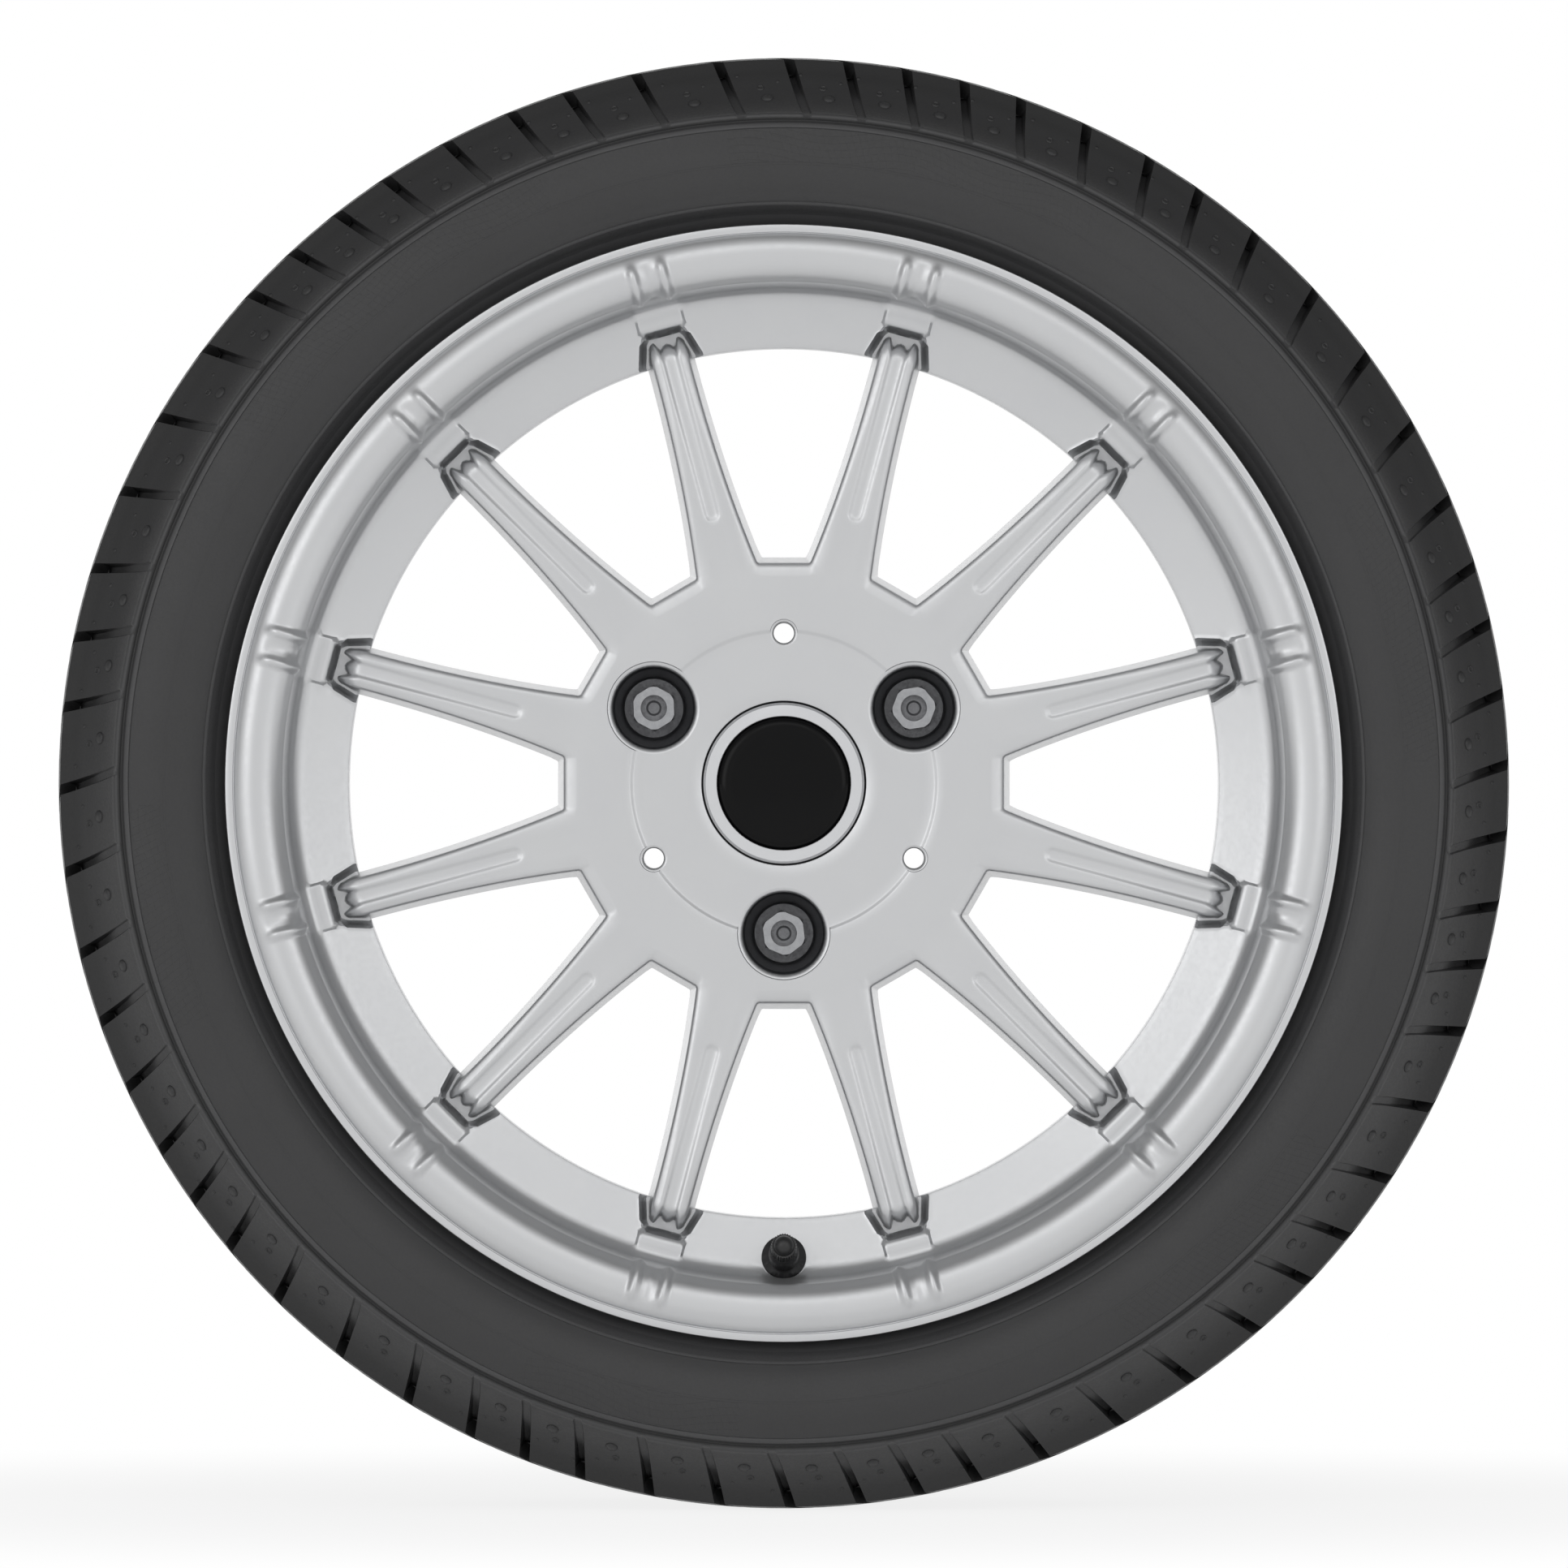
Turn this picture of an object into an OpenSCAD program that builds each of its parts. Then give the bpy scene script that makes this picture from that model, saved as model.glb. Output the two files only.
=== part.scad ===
// Twelve-spoke cast alloy road wheel with its tyre, centre cap, wheel bolts and valve.
// The wheel's centre is the origin. The axle runs along Y and the outer face looks towards -Y.
// Each piece is drawn around its own +Z first, front side up, and is turned upright at the end.

/* [Rim] */
// Bead seat diameter, the 15 inch size
seat_d = 380.2; // [354.8:0.1:405.6]
// Width between the bead faces of the two flanges, the 6.5 inch size
rim_w = 165.1; // [139.7:0.1:190.5]
// Height of a flange above the bead seat
flange_h = 17.5; // [16.5:0.1:18.5]
// Thickness of the outer flange
flange_t = 11; // [9.5:0.1:13]
// Thickness of the inner flange
rear_flange_t = 9.5; // [8:0.1:12]
// Radius of the tyre side corner of a flange
flange_r = 4.3; // [3:0.1:5.5]
// Fillet between flange and bead seat
heel_r = 6.5; // [5:0.1:7]
// Length of a bead seat, flange to hump
seat_l = 21; // [19:0.5:24]
// Fall of the seat from flange to hump
seat_fall = 1.3; // [0.8:0.1:1.8]
// Height of the hump that keeps the bead on its seat
hump_h = 0.9; // [0.5:0.1:1.2]
// Depth of the well below the bead seat
well_depth = 21.6; // [18:0.1:25]
// Wall of the barrel at the well
well_wall = 6.3; // [5:0.1:8]
// Wall of the barrel under the inner bead seat
rear_wall = 6; // [4.5:0.1:8]
// Distance of the well from the outer bead face
well_start = 39; // [36:0.5:42]
// Length of the well's floor
well_l = 30; // [22:1:38]
// Length of the slope from the well up to the inner hump
well_slope_l = 46; // [38:1:54]

/* [Lip] */
// Width of the bright flat ring on the flange
ring_w = 3; // [2:0.1:4]
// Width of the rolled lip inside that ring
roll_w = 17.2; // [14:0.1:20]
// Rise of the roll above its two edges
roll_rise = 4.2; // [3:0.1:5.5]
// Depth of the groove between ring and roll
roll_groove = 1.1; // [0.5:0.1:2]
// Step of the roll's inner edge below its outer edge
roll_drop = 1.7; // [0.5:0.1:3]
// Depth from the ring to the foot of the lip's wall
dish_depth = 26; // [22:0.5:30]
// How far the foot of the wall lies inside its top edge
wall_lean = 3.6; // [2:0.1:5]
// Fillet at the foot of the wall
foot_r = 3; // [2:0.5:4]
// Slope of the dish between wall and barrel, in degrees
dish_slope = 14; // [10:0.5:18]
// Width of the double rib that crosses the lip at each spoke
rib_w = 17; // [13:0.1:21]
// Height of that rib over the roll
rib_h = 1; // [0.5:0.1:1.6]
// Width of the channel along the rib's middle
rib_channel_w = 4.8; // [3:0.1:7]

/* [Disc] */
// Depth of the hub face behind the bright ring
face_inset = 25.5; // [21:0.1:29]
// Offset of the mounting face from the rim's middle
wheel_offset = 28; // [20:0.5:34]
// Radius of the mounting pad
pad_r = 72; // [68:0.5:76]
// Depth of the spokes at the rim, front to back
spoke_depth = 25; // [20:0.5:28]
// Number of spokes
spoke_n = 12; // [12:1:12]
// Width of a spoke at the rim
spoke_w = 13.4; // [11:0.1:16]
// Extra width of a spoke where it leaves the hub
spoke_flare = 9.6; // [6:0.1:11]
// Radius of the hub side of the windows
window_r = 81.8; // [79:0.1:86]
// Length of the flat hub side of a window
window_flat = 17; // [14:0.1:19]
// Draft of the window walls, in degrees
window_draft = 5; // [2:0.5:8]
// Chamfer around the windows
window_edge = 1.5; // [0.8:0.1:2.2]
// Length over which a spoke's top line rises from either end
spoke_rise_l = 20; // [14:1:26]
// Radius of the spoke's nose where it turns down into the rim
nose_r = 7; // [5:0.1:9]
// Gap between the nose and the outer wall of its pocket
nose_gap = 4.2; // [3:0.1:6]
// Width of the channel along a spoke
channel_w = 5.3; // [3.5:0.1:7]
// Depth of that channel
channel_d = 1; // [0.5:0.1:1.6]
// Radius where the channel starts
channel_r = 101; // [94:0.5:112]
// Depth of the shallow round step in the hub face
step_d = 1; // [0.4:0.1:1.6]
// Radius of that step
step_r = 57; // [52:0.5:62]

/* [Rim pockets] */
// Radius of the outer wall of the pocket at a spoke's end
pocket_r = 174.7; // [172:0.1:177]
// Width of the pocket at its outer wall
pocket_w = 16.2; // [14:0.1:18.5]
// Opening of the pocket's side walls towards the hub, in degrees
pocket_open = 17; // [12:0.5:22]
// Depth of the pocket below the dish
pocket_d = 9.5; // [7:0.1:11]
// Chamfer around the pocket
pocket_edge = 1.4; // [0.8:0.1:2]
// Height of the flat pad outside the pocket over the dish
pad_h = 1.6; // [0.8:0.1:2.4]
// Width of that pad
pad_w = 17.2; // [14.5:0.1:19.5]

/* [Hub] */
// Hub bore
bore_d = 57.1; // [54:0.1:60]
// Length of the hub bore's spigot wall
bore_l = 16; // [12:0.5:18]
// Diameter of the circle of bolts
pcd = 112; // [108:0.5:116]
// Number of bolts
bolt_n = 3; // [3:1:3]
// Bolt pocket
bolt_pocket_d = 30.8; // [28:0.1:33]
// Depth of the bolt pocket from the hub face to its seat
bolt_pocket_l = 22; // [18:0.5:24]
// Rounded front edge of the bolt pocket
bolt_pocket_edge = 1.4; // [0.8:0.1:2]
// Bolt hole
bolt_hole_d = 14.6; // [13:0.1:15]
// Small through holes between the bolts
peg_hole_d = 7.6; // [6:0.1:9]
// Countersink of the small holes
peg_hole_edge = 1.1; // [0.6:0.1:1.6]

/* [Wheel bolts] */
// Thread diameter
bolt_d = 12; // [12:0.5:12.5]
// Width across the flats of the bolt head
hex_af = 15; // [14:0.5:17]
// Height of the hexagon above its flange
hex_h = 11; // [8:0.5:13]
// Chamfer on the corners of the hexagon
hex_chamfer = 0.7; // [0.3:0.1:1.2]
// Flange of the bolt head
bolt_flange_d = 23.5; // [21:0.1:25]
// Thickness of that flange
bolt_flange_h = 3.4; // [2.5:0.1:4.5]
// Height of the tapered seat under the flange
bolt_seat_h = 3.8; // [2.5:0.1:4.5]
// Length of the threaded end behind the mounting face
bolt_reach = 23; // [18:0.5:26]
// Round recess in the head
bolt_recess_d = 9.8; // [8:0.1:11]
// Depth of that recess
bolt_recess_l = 3; // [2:0.1:5]

/* [Centre cap] */
// Diameter of the cap
cap_d = 60; // [56:0.1:62]
// Thickness of the cap's rim
cap_t = 5; // [3.5:0.1:6]
// Diameter of the black disc in the cap
disc_d = 50; // [44:0.1:52]
// Thickness of the black disc at its edge
disc_t = 2.4; // [1.6:0.1:3]
// Rise of the black disc's dome
disc_dome = 1.6; // [0.8:0.1:2.4]
// Number of clip legs
leg_n = 6; // [4:1:8]
// Thickness of a clip leg
leg_t = 1.8; // [1.4:0.1:2.4]
// Gap between two legs
leg_gap = 7; // [4:0.5:9]
// Catch of a leg behind the land in the bore
leg_catch = 0.7; // [0.4:0.1:0.9]
// Wire of the spring ring that spreads the legs
wire_d = 1.6; // [1.2:0.1:2]
// Width of the land that the legs clip behind
land_l = 7; // [5:0.5:8]
// How far the land stands in from the hub bore
land_h = 0.7; // [0.4:0.1:1]
// Radial gap around the cap
cap_gap = 0.3; // [0.2:0.05:0.5]
// Radial gap around the legs
leg_clear = 0.1; // [0.05:0.05:0.2]

/* [Tyre] */
// Outer diameter
tyre_d = 542; // [534:1:552]
// Section width
tyre_w = 196; // [190:1:206]
// Width of the tread band between its shoulders
tread_w = 128; // [118:1:138]
// Thickness of the tread with its belts
tread_t = 14.5; // [13:0.5:17]
// Thickness of a sidewall
side_t = 7.5; // [6:0.5:9]
// Width of a bead on its seat
bead_w = 19; // [17:0.5:20]
// Depth of the grooves
groove_d = 7.5; // [6:0.5:8]
// Width of the grooves around the tread
groove_w = 8.5; // [7:0.5:10]
// Spacing of the grooves around the tread
groove_pitch = 28; // [25:0.5:31]
// Lengths of the tread blocks around a shoulder in turn: 5 short, 6 medium, 7 long
block_order = "5555665677776566665677656777655666655677655666777667776555665676"; // any run of digits
// Place of the first groove, in degrees clockwise from the top
block_start = 2; // [0:0.1:5]
// Width of the grooves across a shoulder
slot_w = 5; // [3.5:0.1:6]
// Slant of those grooves, in degrees
slot_slant = 12; // [0:1:20]
// Gap between tyre and rim
bead_gap = 0.05; // [0.02:0.01:0.1]

/* [Valve] */
// Radius of the valve hole on the dish
valve_at = 176.8; // [175:0.1:178.5]
// Valve hole
valve_hole_d = 11.5; // [11:0.1:12]
// Thickness of the rim left at the valve hole
valve_land = 4; // [3:0.1:5]
// Collar of the rubber valve body
collar_d = 16.8; // [15.5:0.1:18]
// Gap around the collar in its spot face
collar_gap = 0.3; // [0.2:0.05:0.6]
// Thickness of that collar
collar_t = 2.2; // [1.5:0.1:3]
// Rubber stem at the collar
stem_rubber_d = 11.4; // [10.8:0.1:12]
// Length of the rubber stem outside the rim
stem_rubber_l = 12; // [10:0.5:16]
// Thread of the brass stem
stem_d = 7.7; // [7.4:0.1:7.9]
// Length of the bare thread
stem_thread_l = 6.4; // [5.5:0.1:8]
// Bore of the brass stem
stem_bore_d = 4.6; // [4.4:0.1:4.8]
// Valve cap
cap_body_d = 9.6; // [9.2:0.1:10.2]
// Thickness of the cap over its seal, up to its domed tip
cap_top_t = 1.6; // [1.2:0.1:2.2]
// Diameter of the cap's domed tip
cap_tip_d = 7.4; // [6.5:0.1:8]
// Thickness of the seal in the cap
cap_seal_t = 0.8; // [0.6:0.1:1]
// Number of ridges on the cap
cap_knurl_n = 30; // [20:2:36]
// Radial gap between cap and thread
cap_thread_gap = 0.08; // [0.05:0.01:0.1]
// Travel of the valve pin
pin_travel = 1.5; // [1:0.1:2]
// Valve pin
pin_d = 1.4; // [1.2:0.1:1.6]

/* [Hidden] */

$fn = 96;
far = 400;
eps = 0.02;

// Rim levels, measured along the axle from the rim's middle
bead_z = rim_w / 2;
ring_z = bead_z + flange_t;
seat_r = seat_d / 2;
rim_r = seat_r + flange_h;
well_r = seat_r - well_depth;
barrel_r = well_r - well_wall;
well_z1 = bead_z - well_start;
well_z0 = well_z1 - well_l;
hump_z = bead_z - seat_l;
ring_r = rim_r - ring_w;
roll_in_r = ring_r - roll_w;
roll_out = [ring_r - 0.3, ring_z - roll_groove];
roll_in = [roll_in_r, roll_out.y - roll_drop];
foot_z = ring_z - dish_depth;
foot = [roll_in_r - wall_lean, foot_z];
dish_fall = tan(dish_slope);

// Disc levels
face_z = ring_z - face_inset;
back_z = face_z - spoke_depth;
nose_tip_r = pocket_r - nose_gap;
pitch = 360 / spoke_n;
seat_z = face_z - bolt_pocket_l;
land_z = face_z - step_d - cap_t - land_l;
groove_z0 = wheel_offset + bore_l;

// Turn of each bolt's hexagon, in degrees
bolt_turns = [7, 39, 2];

// Tyre levels
tyre_r = tyre_d / 2;
side_z = tyre_w / 2;
wide_r = rim_r + 0.36 * (tyre_r - rim_r);
shoulder_r = rim_r + 0.62 * (tyre_r - rim_r);
block_r0 = shoulder_r + 1.6;
block_lengths = [for (c = block_order) ord(c) - ord("0")];
block_unit = 360 / (block_lengths * [for (b = block_lengths) 1]);

// Valve levels, measured along the valve's own axis from the dish
thread_z = stem_rubber_l + stem_thread_l;
seal_z = thread_z + 0.1;
skirt_z = seal_z + cap_seal_t + cap_top_t;
core_top = thread_z - 1.2;

function dish_z(r) = foot.y - (foot.x - r) * dish_fall;
function turn(p, a) = [p.x * cos(a) - p.y * sin(a), p.x * sin(a) + p.y * cos(a)];
// Points on an arc around c from angle a0 to a1
function arc(c, r, a0, a1, n) = [
    for (i = [0:n])
    c + r * [cos(a0 + (a1 - a0) * i / n), sin(a0 + (a1 - a0) * i / n)]
];
// Points on an arc from a to b that stands h over its chord, on the left of a to b
function bulge(a, b, h, n) =
    let (d = b - a, l = norm(d), r = (l * l / 4 + h * h) / (2 * h))
    let (side = [-d.y, d.x] / l, c = (a + b) / 2 + side * (h - r))
    let (a0 = atan2(a.y - c.y, a.x - c.x), a1 = atan2(b.y - c.y, b.x - c.x))
    let (sweep = (a1 - a0 > 180) ? a1 - a0 - 360 : (a1 - a0 < -180) ? a1 - a0 + 360 : a1 - a0)
    arc(c, r, a0, a0 + sweep, n);
// Half the width of a spoke at the distance u from the axle
function spoke_half(u) =
    spoke_w / 2
    + spoke_flare / 2 * pow(max(0, nose_tip_r - nose_r - u) / (nose_tip_r - nose_r - window_r), 2.3);
// Point on the window side of the spoke that stands half a pitch away
function spoke_side(u) = turn([-spoke_half(u), u], -pitch / 2);

// Puts what is drawn front side up into its place on the standing wheel
module standing() {
    rotate([90, 0, 0]) children();
}

// Space on the left of each edge a to b, drawn in by the draft below the height z0
module drafted(edges, z0, draft) {
    intersection_for (e = edges) {
        translate([e[0].x, e[0].y, z0])
            rotate([0, 0, atan2(e[1].y - e[0].y, e[1].x - e[0].x)])
                rotate([draft, 0, 0])
                    translate([-far / 2, 0, -far / 2])
                        cube([far, far, far]);
    }
}

// Spreads its children to every spoke
module at_spokes() {
    for (i = [0:spoke_n - 1]) {
        rotate([0, 0, (i + 0.5) * pitch]) children();
    }
}

// Section of the barrel, outer flange first
module rim_section() {
    rear_z = -bead_z - rear_flange_t;
    polygon(concat(
        [roll_out, [ring_r, ring_z]],
        arc([rim_r - 1.2, ring_z - 1.2], 1.2, 90, 0, 3),
        arc([rim_r - flange_r, bead_z + flange_r], flange_r, 0, -90, 6),
        arc([seat_r + heel_r, bead_z - heel_r], heel_r, 90, 180, 6),
        [
            [seat_r - seat_fall, hump_z],
            [seat_r - seat_fall + hump_h, hump_z - 2],
            [seat_r - seat_fall + hump_h, hump_z - 4],
            [seat_r - seat_fall - 2, hump_z - 7],
            [well_r + 3.5, well_z1 + 3.5],
            [well_r + 1, well_z1 + 1],
            [well_r, well_z1 - 2],
            [well_r, well_z0],
            [seat_r - seat_fall - 3, well_z0 - well_slope_l],
            [seat_r - seat_fall + hump_h, -hump_z + 4],
            [seat_r - seat_fall + hump_h, -hump_z + 2],
            [seat_r - seat_fall, -hump_z]
        ],
        arc([seat_r + heel_r, -bead_z + heel_r], heel_r, 180, 270, 6),
        arc([rim_r - flange_r, -bead_z - flange_r], flange_r, 90, 0, 6),
        arc([rim_r - 1.5, rear_z + 1.5], 1.5, 0, -90, 3),
        [
            [seat_r + flange_h / 2, rear_z],
            [seat_r - 1, rear_z + 4],
            [seat_r - rear_wall, -bead_z + 8],
            [seat_r - rear_wall - 1, well_z0 - well_slope_l],
            [barrel_r + 1, well_z0 + 2],
            [barrel_r, well_z1 + 6]
        ],
        arc([barrel_r + 1.5, dish_z(barrel_r) - 1.8], 1.5, 180, 90 + dish_slope, 3),
        [foot - [foot_r, foot_r * dish_fall], foot + foot_r * [0.1, 0.7]],
        [roll_in - [0.8, 1.2]],
        bulge(roll_in, roll_out, roll_rise, 12)
    ));
}

// Part of the rim that stands up behind the double rib, h over the roll
module roll_section(h) {
    polygon(concat(
        [roll_in - [-2.5, 6], roll_in - [h + 0.4, 4.5]],
        bulge(roll_in + [-h, h - 0.4], roll_out + [-1.6, h], roll_rise, 10),
        [roll_out + [-1.2, h - 1], roll_out - [2.5, 3]]
    ));
}

// Section of the disc under the spokes' top line, inset by h for the channel
module disc_section(h) {
    bore_r = bore_d / 2;
    land_r = bore_r - land_h;
    step_z = face_z - step_d;
    tip = nose_tip_r - nose_r;
    polygon(concat(
        [
            [bore_r + 1, wheel_offset],
            [pad_r, wheel_offset],
            [pad_r + 3, wheel_offset + 3],
            [window_r + 6, back_z - 1],
            [barrel_r - 6, back_z],
            [barrel_r + 3, back_z],
            [barrel_r + 3, dish_z(barrel_r) - pocket_d - 2],
            [nose_tip_r - h, dish_z(barrel_r) - pocket_d - 2]
        ],
        arc([tip, face_z + 0.4 - nose_r], nose_r - h, 0, 90, 8),
        [
            [tip - spoke_rise_l, face_z + 1 - h],
            [window_r + spoke_rise_l, face_z + 0.4 - h],
            [window_r, face_z - h],
            [step_r + 1.5, face_z - h],
            [step_r - 1.5, step_z - h],
            [cap_d / 2 + cap_gap + 0.8, step_z - h],
            [cap_d / 2 + cap_gap, step_z - h - 0.8],
            [cap_d / 2 + cap_gap, step_z - cap_t],
            [land_r + 0.5, step_z - cap_t],
            [land_r, step_z - cap_t - 0.5],
            [land_r, land_z],
            [bore_r + 1.2, land_z - 0.8],
            [bore_r + 1.2, groove_z0 + 0.8],
            [bore_r, groove_z0],
            [bore_r, wheel_offset + 1]
        ]
    ));
}

// Edges of one window, counter-clockwise, with the window's own direction up
function window_edges() =
    let (stations = [window_r + 2, 93, 105, 121, 142, pocket_r])
    let (right = [for (u = stations) spoke_side(u)])
    let (side = concat([[-window_flat / 2, window_r]], [[window_flat / 2, window_r]], right))
    let (n = len(side))
    concat(
        [[side[0], side[1]]],
        [for (i = [1:n - 2]) [side[i], side[i + 1]]],
        [for (i = [1:n - 2]) [[-side[i + 1].x, side[i + 1].y], [-side[i].x, side[i].y]]]
    );

// Edges of the pocket that takes a spoke's end, with the spoke's own direction up
function pocket_edges(grow) =
    let (w = pocket_w / 2 + grow, r = pocket_r + grow, c = 2.4)
    let (o = sin(pocket_open), u = cos(pocket_open))
    [
        [[w - c, r], [-w + c, r]],
        [[w + c * o, r - c * u], [w - c, r]],
        [[-w + c, r], [-w - c * o, r - c * u]],
        [[w + 20 * o, r - 20 * u], [w, r]],
        [[-w, r], [-w - 20 * o, r - 20 * u]],
        [[-w, barrel_r - 12], [w, barrel_r - 12]]
    ];

// The spokes and hub, one casting with the barrel
module disc() {
    difference() {
        rotate_extrude() disc_section(0);
        for (i = [0:spoke_n - 1]) {
            rotate([0, 0, i * pitch]) {
                drafted(window_edges(), face_z, window_draft);
                drafted(window_edges(), face_z - window_edge, 45);
            }
        }
        difference() {
            at_spokes() {
                translate([0, channel_r, face_z - 20]) cylinder(d = channel_w, h = 40);
                translate([-channel_w / 2, channel_r, face_z - 20])
                    cube([channel_w, nose_tip_r - channel_r + 2, 40]);
            }
            rotate_extrude() disc_section(channel_d);
        }
    }
}

// The barrel with its double ribs, pads and spoke pockets
module barrel() {
    difference() {
        union() {
            rotate_extrude() rim_section();
            at_spokes() {
                translate([-pad_w / 2, pocket_r - 2, foot.y - 6])
                    cube([pad_w, foot.x - pocket_r + 4, 6 + pad_h - 0.6]);
            }
            intersection() {
                rotate_extrude() roll_section(rib_h);
                at_spokes() {
                    for (s = [-1, 1]) {
                        translate([s * (rib_w + rib_channel_w) / 4, (roll_in.x + ring_r) / 2, ring_z])
                            cube([(rib_w - rib_channel_w) / 2, roll_w + 8, 40], center = true);
                    }
                }
            }
        }
        at_spokes() {
            intersection() {
                drafted(pocket_edges(0), foot.y, 8);
                translate([-far / 2, 0, dish_z(barrel_r) - pocket_d]) cube([far, far, far]);
            }
            intersection() {
                drafted(pocket_edges(0), dish_z(pocket_r) + pad_h - pocket_edge, 45);
                translate([-far / 2, 0, dish_z(barrel_r) - 2]) cube([far, pocket_r + 8, 12]);
            }
        }
    }
}

// Puts its children on the valve's own axis, with the dish at height 0
module at_valve() {
    translate([0, -valve_at, dish_z(valve_at)]) rotate([-dish_slope, 0, 0]) children();
}

// The one-piece casting
module wheel() {
    color("silver") standing() difference() {
        union() {
            barrel();
            disc();
        }
        for (i = [0:bolt_n - 1]) {
            rotate([0, 0, -90 + i * 360 / bolt_n]) translate([pcd / 2, 0, 0]) {
                translate([0, 0, seat_z])
                    cylinder(d1 = bolt_pocket_d - 1.6, d2 = bolt_pocket_d, h = bolt_pocket_l + 5);
                translate([0, 0, face_z - step_d - bolt_pocket_edge])
                    cylinder(
                        d1 = bolt_pocket_d,
                        d2 = bolt_pocket_d + 2 * (bolt_pocket_edge + 6),
                        h = bolt_pocket_edge + 6
                    );
                translate([0, 0, seat_z - bolt_seat_h])
                    cylinder(
                        d1 = bolt_flange_d - 1 - 2 * bolt_seat_h * tan(30),
                        d2 = bolt_flange_d - 1,
                        h = bolt_seat_h + eps
                    );
                cylinder(d = bolt_hole_d, h = face_z);
            }
            rotate([0, 0, 90 + i * 360 / bolt_n]) translate([pcd / 2, 0, 0]) {
                cylinder(d = peg_hole_d, h = face_z + 10);
                translate([0, 0, face_z - step_d - peg_hole_edge])
                    cylinder(d1 = peg_hole_d, d2 = peg_hole_d + 2 * (peg_hole_edge + 5), h = peg_hole_edge + 5);
            }
        }
        at_valve() {
            translate([0, 0, -40]) cylinder(d = valve_hole_d, h = 60);
            cylinder(d = collar_d + 2 * collar_gap, h = collar_t + 8);
            translate([0, 0, -valve_land - 30]) cylinder(d = valve_hole_d + 11, h = 30);
        }
    }
}

// Outer line of half the tyre, from the bead up to the middle of the tread
function tyre_line() =
    let (heel = [seat_r + heel_r, bead_z - heel_r])
    let (r0 = rim_r + 1)
    concat(
        [[seat_r + bead_gap - 0.3, bead_z - bead_w], [seat_r + bead_gap, bead_z - heel_r]],
        arc(heel, heel_r - bead_gap, 180, 90, 5),
        [
            [rim_r - flange_r - 1, bead_z - bead_gap],
            [rim_r - 1, bead_z - 1.2],
            [r0 + 3, bead_z + 1],
            [r0 + 5.5, side_z - 7],
            [r0 + 8, side_z - 4],
            [wide_r - 6, side_z - 0.8],
            [wide_r, side_z],
            [wide_r + 8, side_z - 0.9],
            [shoulder_r - 1.6, side_z - 3.2],
            [shoulder_r - 1.2, side_z - 2.6],
            [shoulder_r, side_z - 3],
            [shoulder_r + 0.6, side_z - 4.6]
        ],
        bulge([block_r0, side_z - 4.2], [tyre_r - 1.2, tread_w / 2], 5.2, 8)
    );

// Inner line of half the tyre, from the middle of the tread down to the bead's toe
function tyre_inner() = [
    [tyre_r - tread_t, 0],
    [tyre_r - tread_t - 1, tread_w / 2 - 12],
    [tyre_r - tread_t - 5, tread_w / 2 + 8],
    [shoulder_r - 6, side_z - side_t - 7],
    [wide_r, side_z - side_t],
    [wide_r - 12, side_z - side_t - 2],
    [seat_r + flange_h - 2, bead_z - 2],
    [seat_r + 12, bead_z - bead_w + 5],
    [seat_r + 3, bead_z - bead_w - 0.5]
];

// Both halves joined into one closed outline
module tyre_section() {
    outer = concat(tyre_line(), [[tyre_r, tread_w / 2 - 16]]);
    inner = tyre_inner();
    n = len(outer);
    m = len(inner);
    polygon(concat(
        outer,
        [for (i = [1:n]) [outer[n - i].x, -outer[n - i].y]],
        [for (i = [1:m - 1]) [inner[m - i].x, -inner[m - i].y]],
        inner
    ));
}

// Sum of the first n numbers of a list
function sum(list, n) = (n == 0) ? 0 : list[n - 1] + sum(list, n - 1);

module tyre() {
    color([0.13, 0.13, 0.13]) standing() difference() {
        rotate_extrude() difference() {
            tyre_section();
            for (z = [-1.5:1:1.5]) {
                translate([tyre_r - groove_d, z * groove_pitch - groove_w / 2])
                    square([groove_d + 2, groove_w]);
            }
        }
        for (s = [0, 1], i = [0:len(block_lengths) - 1]) {
            mirror([0, 0, s])
                rotate([0, 0, 90 - block_start - sum(block_lengths, i) * block_unit])
                    shoulder_slot();
        }
    }
}

// One groove across a shoulder, from the outer groove of the tread down to the sidewall
module shoulder_slot() {
    top = [tyre_r - groove_d, 1.5 * groove_pitch];
    low = [block_r0 - 1.5, side_z - 5];
    run = low - top;
    out_l = tyre_r - wide_r;
    rotate([0, 0, atan2(norm(run) * sin(slot_slant), low.x)])
        translate([top.x, 0, top.y])
            rotate([0, atan2(run.x, run.y), 0])
                rotate([slot_slant, 0, 0])
                    translate([0, -slot_w / 2, 0])
                        cube([out_l, slot_w, norm(run) / cos(slot_slant)]);
}

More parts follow.
